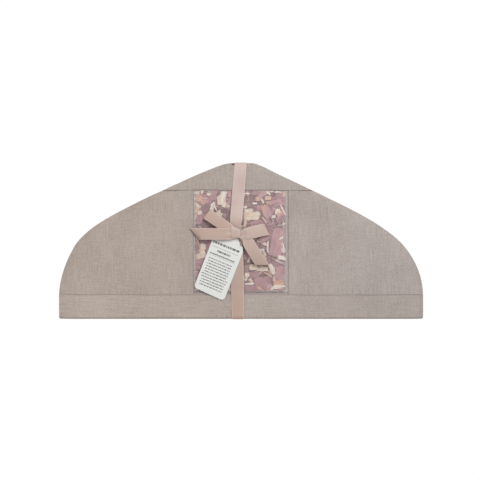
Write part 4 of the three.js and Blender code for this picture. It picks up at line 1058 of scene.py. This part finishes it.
KNOT, KNOT_Z = np.array([-4.5, 10.5]), 19.85
KNOT_MIDDLE = np.array([-6.7, 9.6, KNOT_Z])
KNOT_BED = front_bed(*KNOT)
BED_GAP = 0.525
# Each part of the bow. root is where it leaves the knot, in ribbon widths; rise is its height there over the knot's
# middle, end its height at its end, and droop how late it comes down. A loop has a fold, which lies aslant by slant;
# a tail is cut aslant by cut. pleats holds their waves across, phase, height and run.
# A part's tone is how much painted shade darkens and warms it
TAIL = dict(rise=1.7, end=0.25, fold=0, slant=0)
LOOP = dict(rise=-1.1, end=0.35, cut=0)
BOW = {
    "tail_left": dict(
        TAIL, heading=179.75, length=53.9, width=14.3, root_width=12.6, root=(0, -0.145), droop=6, cut=-6,
        pleats=(5.2, 0.6, 0.5, 9), tone=0.35,
    ),
    "tail_right": dict(
        TAIL, heading=12.8, length=37.6, width=14.9, root_width=10.2, root=(0, -0.275), droop=2.8, cut=-1.7,
        pleats=(4.6, -1.1, 0.5, 8), tone=0.05,
    ),
    "loop_left": dict(
        LOOP, heading=145.2, length=46.5, width=13.8, root_width=11.0, root=(0, -0.22), droop=2.3, fold=2.6, slant=0.4,
        pleats=(4.9, 2.0, 0.35, 8), tone=0.55,
    ),
    "loop_right": dict(
        LOOP, heading=301.6, length=48, width=14.9, root_width=7.0, root=(0.36, 0), droop=3, fold=2.8, slant=4.5,
        pleats=(5.4, 0.2, 0.35, 9), tone=0.15,
    ),
}


def bow_middle(part, share, above):
    """The ribbon's middle at a share of a part's length, clear of all that lies under its width."""
    place = KNOT + np.array(part["root"]) * RIBBON_WIDTH + part["out"][:2] * part["length"] * share
    lift = lerp(part["end"], KNOT_Z + part["rise"] - KNOT_BED - BED_GAP, 1 - share ** part["droop"])
    reach = (-7.3, 0, 7.3)
    near = [place + part["out"][:2] * out + part["across"][:2] * side for out in reach for side in reach]
    return np.array([*place, max(front_bed(*at) for at in near) + BED_GAP + lift + above])


def bow_line(part):
    fold, length = part["fold"], part["length"]
    shares = np.linspace(0.06, 1, 40)
    points = []
    if fold:
        radius = fold / 2
        end = 1 - radius / length
        points += [(s, bow_middle(part, s, fold * lerp(0.42, 1, s)), UP) for s in shares * end]
        for a in np.radians(np.linspace(80, -80, 9)):
            middle = bow_middle(part, end + math.cos(a) * radius / length, radius * (1 + math.sin(a)))
            points.append((1, middle, part["out"] * math.cos(a) + UP * math.sin(a)))
        points += [(s, bow_middle(part, s, 0), -UP) for s in shares[::-1] * end]
    else:
        for s in shares:  # near the knot a tail dips to pass under the knot's band
            dip = (1 - smoothstep(length * s, 5.0, 13.0)) * (part["rise"] - 0.3)
            points.append((s, bow_middle(part, s, -dip), UP))
    width = lambda s: lerp(part["root_width"], part["width"], smoothstep(s * length, 3.0, 17.0))
    return [(middle, part["across"], width(s), up) for s, middle, up in points]


for name, part in BOW.items():
    c, s = math.cos(math.radians(part["heading"])), math.sin(math.radians(part["heading"]))
    part.update(out=np.array([c, s, 0]), across=np.array([-s, c, 0]))
    grid, uv = ribbon_grid(bow_line(part), crown=0.25)
    side = np.linspace(-1, 1, grid.shape[1])
    away = (grid[..., :2] - KNOT) @ part["out"][:2]
    waves, phase, height, run = part["pleats"]
    pleats = np.sin(side * waves + phase) * np.exp(-np.clip(away - 4, 0, None) / run)
    grid[..., 2] += height * pleats * (1 - 0.3 * side**2)
    near_end = np.clip((np.arange(len(grid)) - len(grid) + 7) / 6, 0, 1)[:, None]
    cut = part["cut"] * side * near_end
    slant = smoothstep(away / part["length"], 0.45, 1.0) * side * part["slant"]
    grid += (slant + cut)[..., None] * part["out"]
    uv[..., 0] += cut
    held = "folded" if part["fold"] else "laid"
    satin_piece(name, grid, uv, f"bow_{name}", held, "organza_window", flip=True, tone=part["tone"])


def knot_grid():
    """The ribbon goes once round the bow's middle; its edges are tucked under at both sides."""
    angle = np.radians(np.linspace(-88, 268, 72))[:, None]
    c, s = np.cos(angle), np.sin(angle)
    y, z = 6.1 * np.copysign(abs(c) ** 0.55, c), 2.15 * np.copysign(abs(s) ** 0.8, s)
    v = np.linspace(-7.75, 7.75, 31)
    flat = 5.3  # half the band's flat face
    turn = np.clip((abs(v) - flat) / 0.95, 0, math.pi * 0.85)
    past = np.maximum(turn - math.pi / 2, 0)
    x = np.where(turn > 0, np.copysign(flat + 0.75 * np.sin(turn - past) - 0.5 * past, v), v)
    folds = 0.22 * np.exp(-(((v - 2.6) / 0.9) ** 2)) - 0.16 * np.exp(-(((v + 1.9) / 0.8) ** 2))
    inwards = (0.75 * (1 - np.cos(turn)) - folds * (0.5 + 0.5 * abs(c))) / np.hypot(0.6 * c, s)
    grid = np.stack([x * (1 - 0.1 * c**2), y - 0.6 * c * inwards, z - s * inwards], axis=2)
    run = np.cumsum(np.hypot(*[np.diff(a[:, 0], prepend=a[0]) for a in (y, z)]))
    share = (grid[..., 0] / 5.4 + 1) / 2  # the top edge falls to the right
    grid[..., 1] *= np.where(grid[..., 1] > 0, lerp(1.0, 0.42, share) * 1.62, 1.06)
    return grid + KNOT_MIDDLE, np.stack(np.broadcast_arrays(run[:, None], v), axis=2)


satin_piece("knot_band", *knot_grid(), "bow_knot", "folded", "ribbon_upper")


# Tag --------------------------------------------------------------------------

TAG_HOLE = np.array([-11.7, 3.0, 16.2457])
TAG_TURN, TAG_SLOPE = math.radians(-22.4), math.radians(2.4)
CARD_THICKNESS = 0.6
# The card in its own frame, whose origin is its hole: half its width, its foot, the foot's corners, where its
# shoulders start, where they end, the round head's start, radius and middle, and the hole's radius
CARD_HALF, CARD_FOOT, CARD_CORNER, CARD_SHOULDER, NECK = 20.5, -75.3, 4.4, -11, (15.785, -4.3)
HEAD_START, HEAD, HEAD_MIDDLE, HOLE = -4.9, 13.9, -9.6, 2.2


def tag_place(u, v, w):
    """From the card's own frame to the cover's. The card's body lies a hair askew."""
    u = u - 1.1 * np.clip((v + 72) / 60, 0, 1) * (1 - smoothstep(v, -9.0, -3.0))
    c, s = math.cos(TAG_SLOPE), math.sin(TAG_SLOPE)
    y, z = v * c - w * s, v * s + w * c
    c, s = math.cos(TAG_TURN), math.sin(TAG_TURN)
    return np.stack([u * c - y * s + TAG_HOLE[0], u * s + y * c + TAG_HOLE[1], z + TAG_HOLE[2]], axis=-1)


def tag_outline():
    half, foot, corner = CARD_HALF, CARD_FOOT, CARD_CORNER
    right = [(u, foot) for u in np.linspace(0, half - corner, 5)[:-1]]
    for a in np.radians(range(0, 91, 10)):
        right.append((half - corner * (1 - math.sin(a)), foot + corner * (1 - math.cos(a))))
    right += [(half, v) for v in np.linspace(foot + corner, CARD_SHOULDER, 16)[1:]]
    right += curved(right[-1], (half, -7.4), NECK, 7)
    start = math.asin((HEAD_START - HEAD_MIDDLE) / HEAD)
    right += [(HEAD * math.cos(a), HEAD_MIDDLE + HEAD * math.sin(a)) for a in np.linspace(start, math.pi / 2, 18)]
    whole = right + [(-u, v) for u, v in right[-2:0:-1]]
    return [(u, v - 0.035 * u * (v < -60)) for u, v in whole]  # its foot is cut a little askew


def tag_warp(u, v):
    """A card that has lain on a soft bed: it sags towards its foot, and its long edges stand up a hair."""
    down = np.clip(-(v + 12) / 63, 0, 1)
    return -1.7 * down**1.6 + 0.08 * down * (u / 20) ** 2


def inside_polygon(x, y, outline):
    inside = False
    for (ax, ay), (bx, by) in zip(outline, outline[1:] + outline[:1]):
        if (ay > y) != (by > y) and x < (bx - ax) * (y - ay) / (by - ay) + ax:
            inside = not inside
    return inside


def card_mesh():
    outer = tag_outline()
    hole = [(HOLE * math.cos(a), HOLE * math.sin(a)) for a in np.linspace(0, 2 * math.pi, 33)[:-1]]
    inner = []
    for v in np.arange(-72.5, 3, 4.0):
        for u in np.arange(-18.0, 18.1, 4.0):
            near = np.hypot(*(np.array(outer) - (u, v)).T).min()
            if near > 1.8 and math.hypot(u, v) > 3.4 and inside_polygon(u, v, outer):
                inner.append((u, v))
    loops = []
    for start, count in ((0, len(outer)), (len(outer), len(hole))):
        loops += [(start + i, start + (i + 1) % count) for i in range(count)]
    verts, _, faces, *_ = delaunay_2d_cdt([Vector(p) for p in outer + hole + inner], loops, [], 2, 1e-6)
    plane = np.array([tuple(v) for v in verts])
    count = len(plane)
    top = []
    for face in faces:
        a, b, c = (plane[i] for i in face)
        turned = (b[0] - a[0]) * (c[1] - a[1]) - (b[1] - a[1]) * (c[0] - a[0])
        top.append(tuple(face) if turned > 0 else tuple(reversed(face)))
    bottom = [tuple(i + count for i in reversed(face)) for face in top]
    edges = dict.fromkeys(edge for face in top for edge in zip(face, face[1:] + face[:1]))
    sides = [(b, a, a + count, b + count) for a, b in edges if (b, a) not in edges]
    u, v = plane.T
    points = np.concatenate([tag_place(u, v, w + tag_warp(u, v)) for w in (CARD_THICKNESS, 0.0)])
    uv = np.concatenate([plane, plane]) * MM
    return new_mesh("tag_card", points, top + bottom + sides, CARD, uv, smooth=False)


fixed(card_mesh(), "tag", "card", "hang_tag")


def print_bars():
    """Plain rules and bars where a tag's print is: corner positions in the card's frame."""
    scatter = random.Random(5)
    bars = [(-18.2, -17.4, 16.6, -17.0), (-18.0, -28.6, 16.2, -28.35)]
    rows = [(-12.0, -18.8, 17.4, 1.3, 2.6), (-21.3, -9.6, 7.6, 1.2, 2.2), (-26.1, -17.6, 15.6, 0.8, 1.5)]
    for line in range(11):
        short = scatter.uniform(0, 2.6)
        rows.append((-32.5 - line * 3.46, -18.3 + short, 16.4 - short, 0.56, 2.6))
    for v, start, end, half, word in rows:
        u = start
        while u < end - 0.6:
            stop = min(u + word * scatter.uniform(0.5, 1.9), end)
            bars.append((u, v - half, stop, v + half))
            u = stop + 0.3 * word
    return bars


points, faces = [], []
for u0, v0, u1, v1 in print_bars():
    start = len(points)
    for w in (CARD_THICKNESS + 0.02, CARD_THICKNESS - 0.05):
        points += [tag_place(u, v, w + tag_warp(u, v)) for u, v in ((u0, v0), (u1, v0), (u1, v1), (u0, v1))]
    faces += [(start, start + 1, start + 2, start + 3), (start + 7, start + 6, start + 5, start + 4)]
    faces += [(start + i, start + i + 4, start + j + 4, start + j) for i, j in ((0, 1), (1, 2), (2, 3), (3, 0))]
fixed(new_mesh("tag_print", points, faces, INK, smooth=False), "tag", "card")


def tie_mesh():
    """The ribbon's end, twisted tight to pass through the hole."""
    start, around, rows = front_bed(*TAG_HOLE[:2]) + 0.4 - TAG_HOLE[2], 20, 16
    points = []
    for t in np.linspace(0, 1, rows):
        radius = 1.55 * (1 + 0.12 * (2 * t - 1) ** 4)
        for a in np.linspace(0, 2 * math.pi, around, endpoint=False):
            r = radius * (0.91 + 0.09 * math.cos(3 * (a + 2.4 * t)))
            points.append(tag_place(r * math.cos(a), r * math.sin(a), lerp(start, 0.9, t)))
    ring = [(k, (k + 1) % around) for k in range(around)]
    last = around * (rows - 1)
    faces = [(i + a, i + b, i + b + around, i + a + around) for i in range(0, last, around) for a, b in ring]
    faces += [tuple(range(around - 1, -1, -1)), tuple(range(last, last + around))]
    return new_mesh("tie_twist", points, faces, SATIN, [(p[2], 0.0) for p in points])


fixed(tie_mesh(), "tie", "satin", "tag_tie")


# Floor, light and camera ------------------------------------------------------


def seen_directly(tree):
    """1 for what the camera sees, also by reflection and through the sheer cloth."""
    ray = add(tree, "ShaderNodeLightPath").outputs
    seen = math_of(tree, "MAXIMUM", ray["Is Camera Ray"], ray["Is Glossy Ray"])
    return math_of(tree, "MAXIMUM", seen, ray["Is Transmission Ray"])


def floor_material():
    """A matt white table. To the camera it looks paper-white but keeps a soft shadow under the object."""
    made, tree = new_material("white_table")
    share = math_of(tree, "MULTIPLY", seen_directly(tree), 0.95)
    matt = add(tree, "ShaderNodeBsdfDiffuse", {"Color": srgb("#E8E8E8")})
    glow = add(tree, "ShaderNodeEmission", {"Color": (1, 1, 1, 1), "Strength": 1.04})
    surface = add(tree, "ShaderNodeMixShader", {0: share, 1: matt.outputs[0], 2: glow.outputs[0]})
    add(tree, "ShaderNodeOutputMaterial", {"Surface": surface.outputs[0]})
    return made


corners = [(-3000, -3000, 0), (3000, -3000, 0), (3000, 3000, 0), (-3000, 3000, 0)]
new_mesh("floor", corners, [(0, 1, 2, 3)], floor_material())

world = bpy.data.worlds.new("studio")
bpy.context.scene.world = world
world.use_nodes = True
sky = world.node_tree
sky.nodes.clear()
strength = between(sky, seen_directly(sky), 0.0, 1.0, 0.395, 1.0)
backdrop = add(sky, "ShaderNodeBackground", {"Color": (1, 1, 1, 1), "Strength": strength})
add(sky, "ShaderNodeOutputWorld", {"Surface": backdrop.outputs[0]})


def softbox(name, place, size, power):
    lamp = bpy.data.lights.new(name, "AREA")
    lamp.size = size
    lamp.energy = power
    made = linked(name, lamp)
    made.location = place
    made.rotation_euler = Vector(place).to_track_quat("Z", "Y").to_euler()


softbox("key_upper_right", (0.55, 0.85, 1.45), 0.8, 17.9)
softbox("fill_left", (-0.9, -0.2, 1.4), 1.2, 3.75)

camera = bpy.data.cameras.new("photo_view")
camera.lens = 85
camera.sensor_width = 36
view = linked("photo_view", camera)
view.location = (-0.00138, 0.00094, 1.4258)
bpy.context.scene.camera = view
bpy.context.scene.view_settings.view_transform = "Standard"
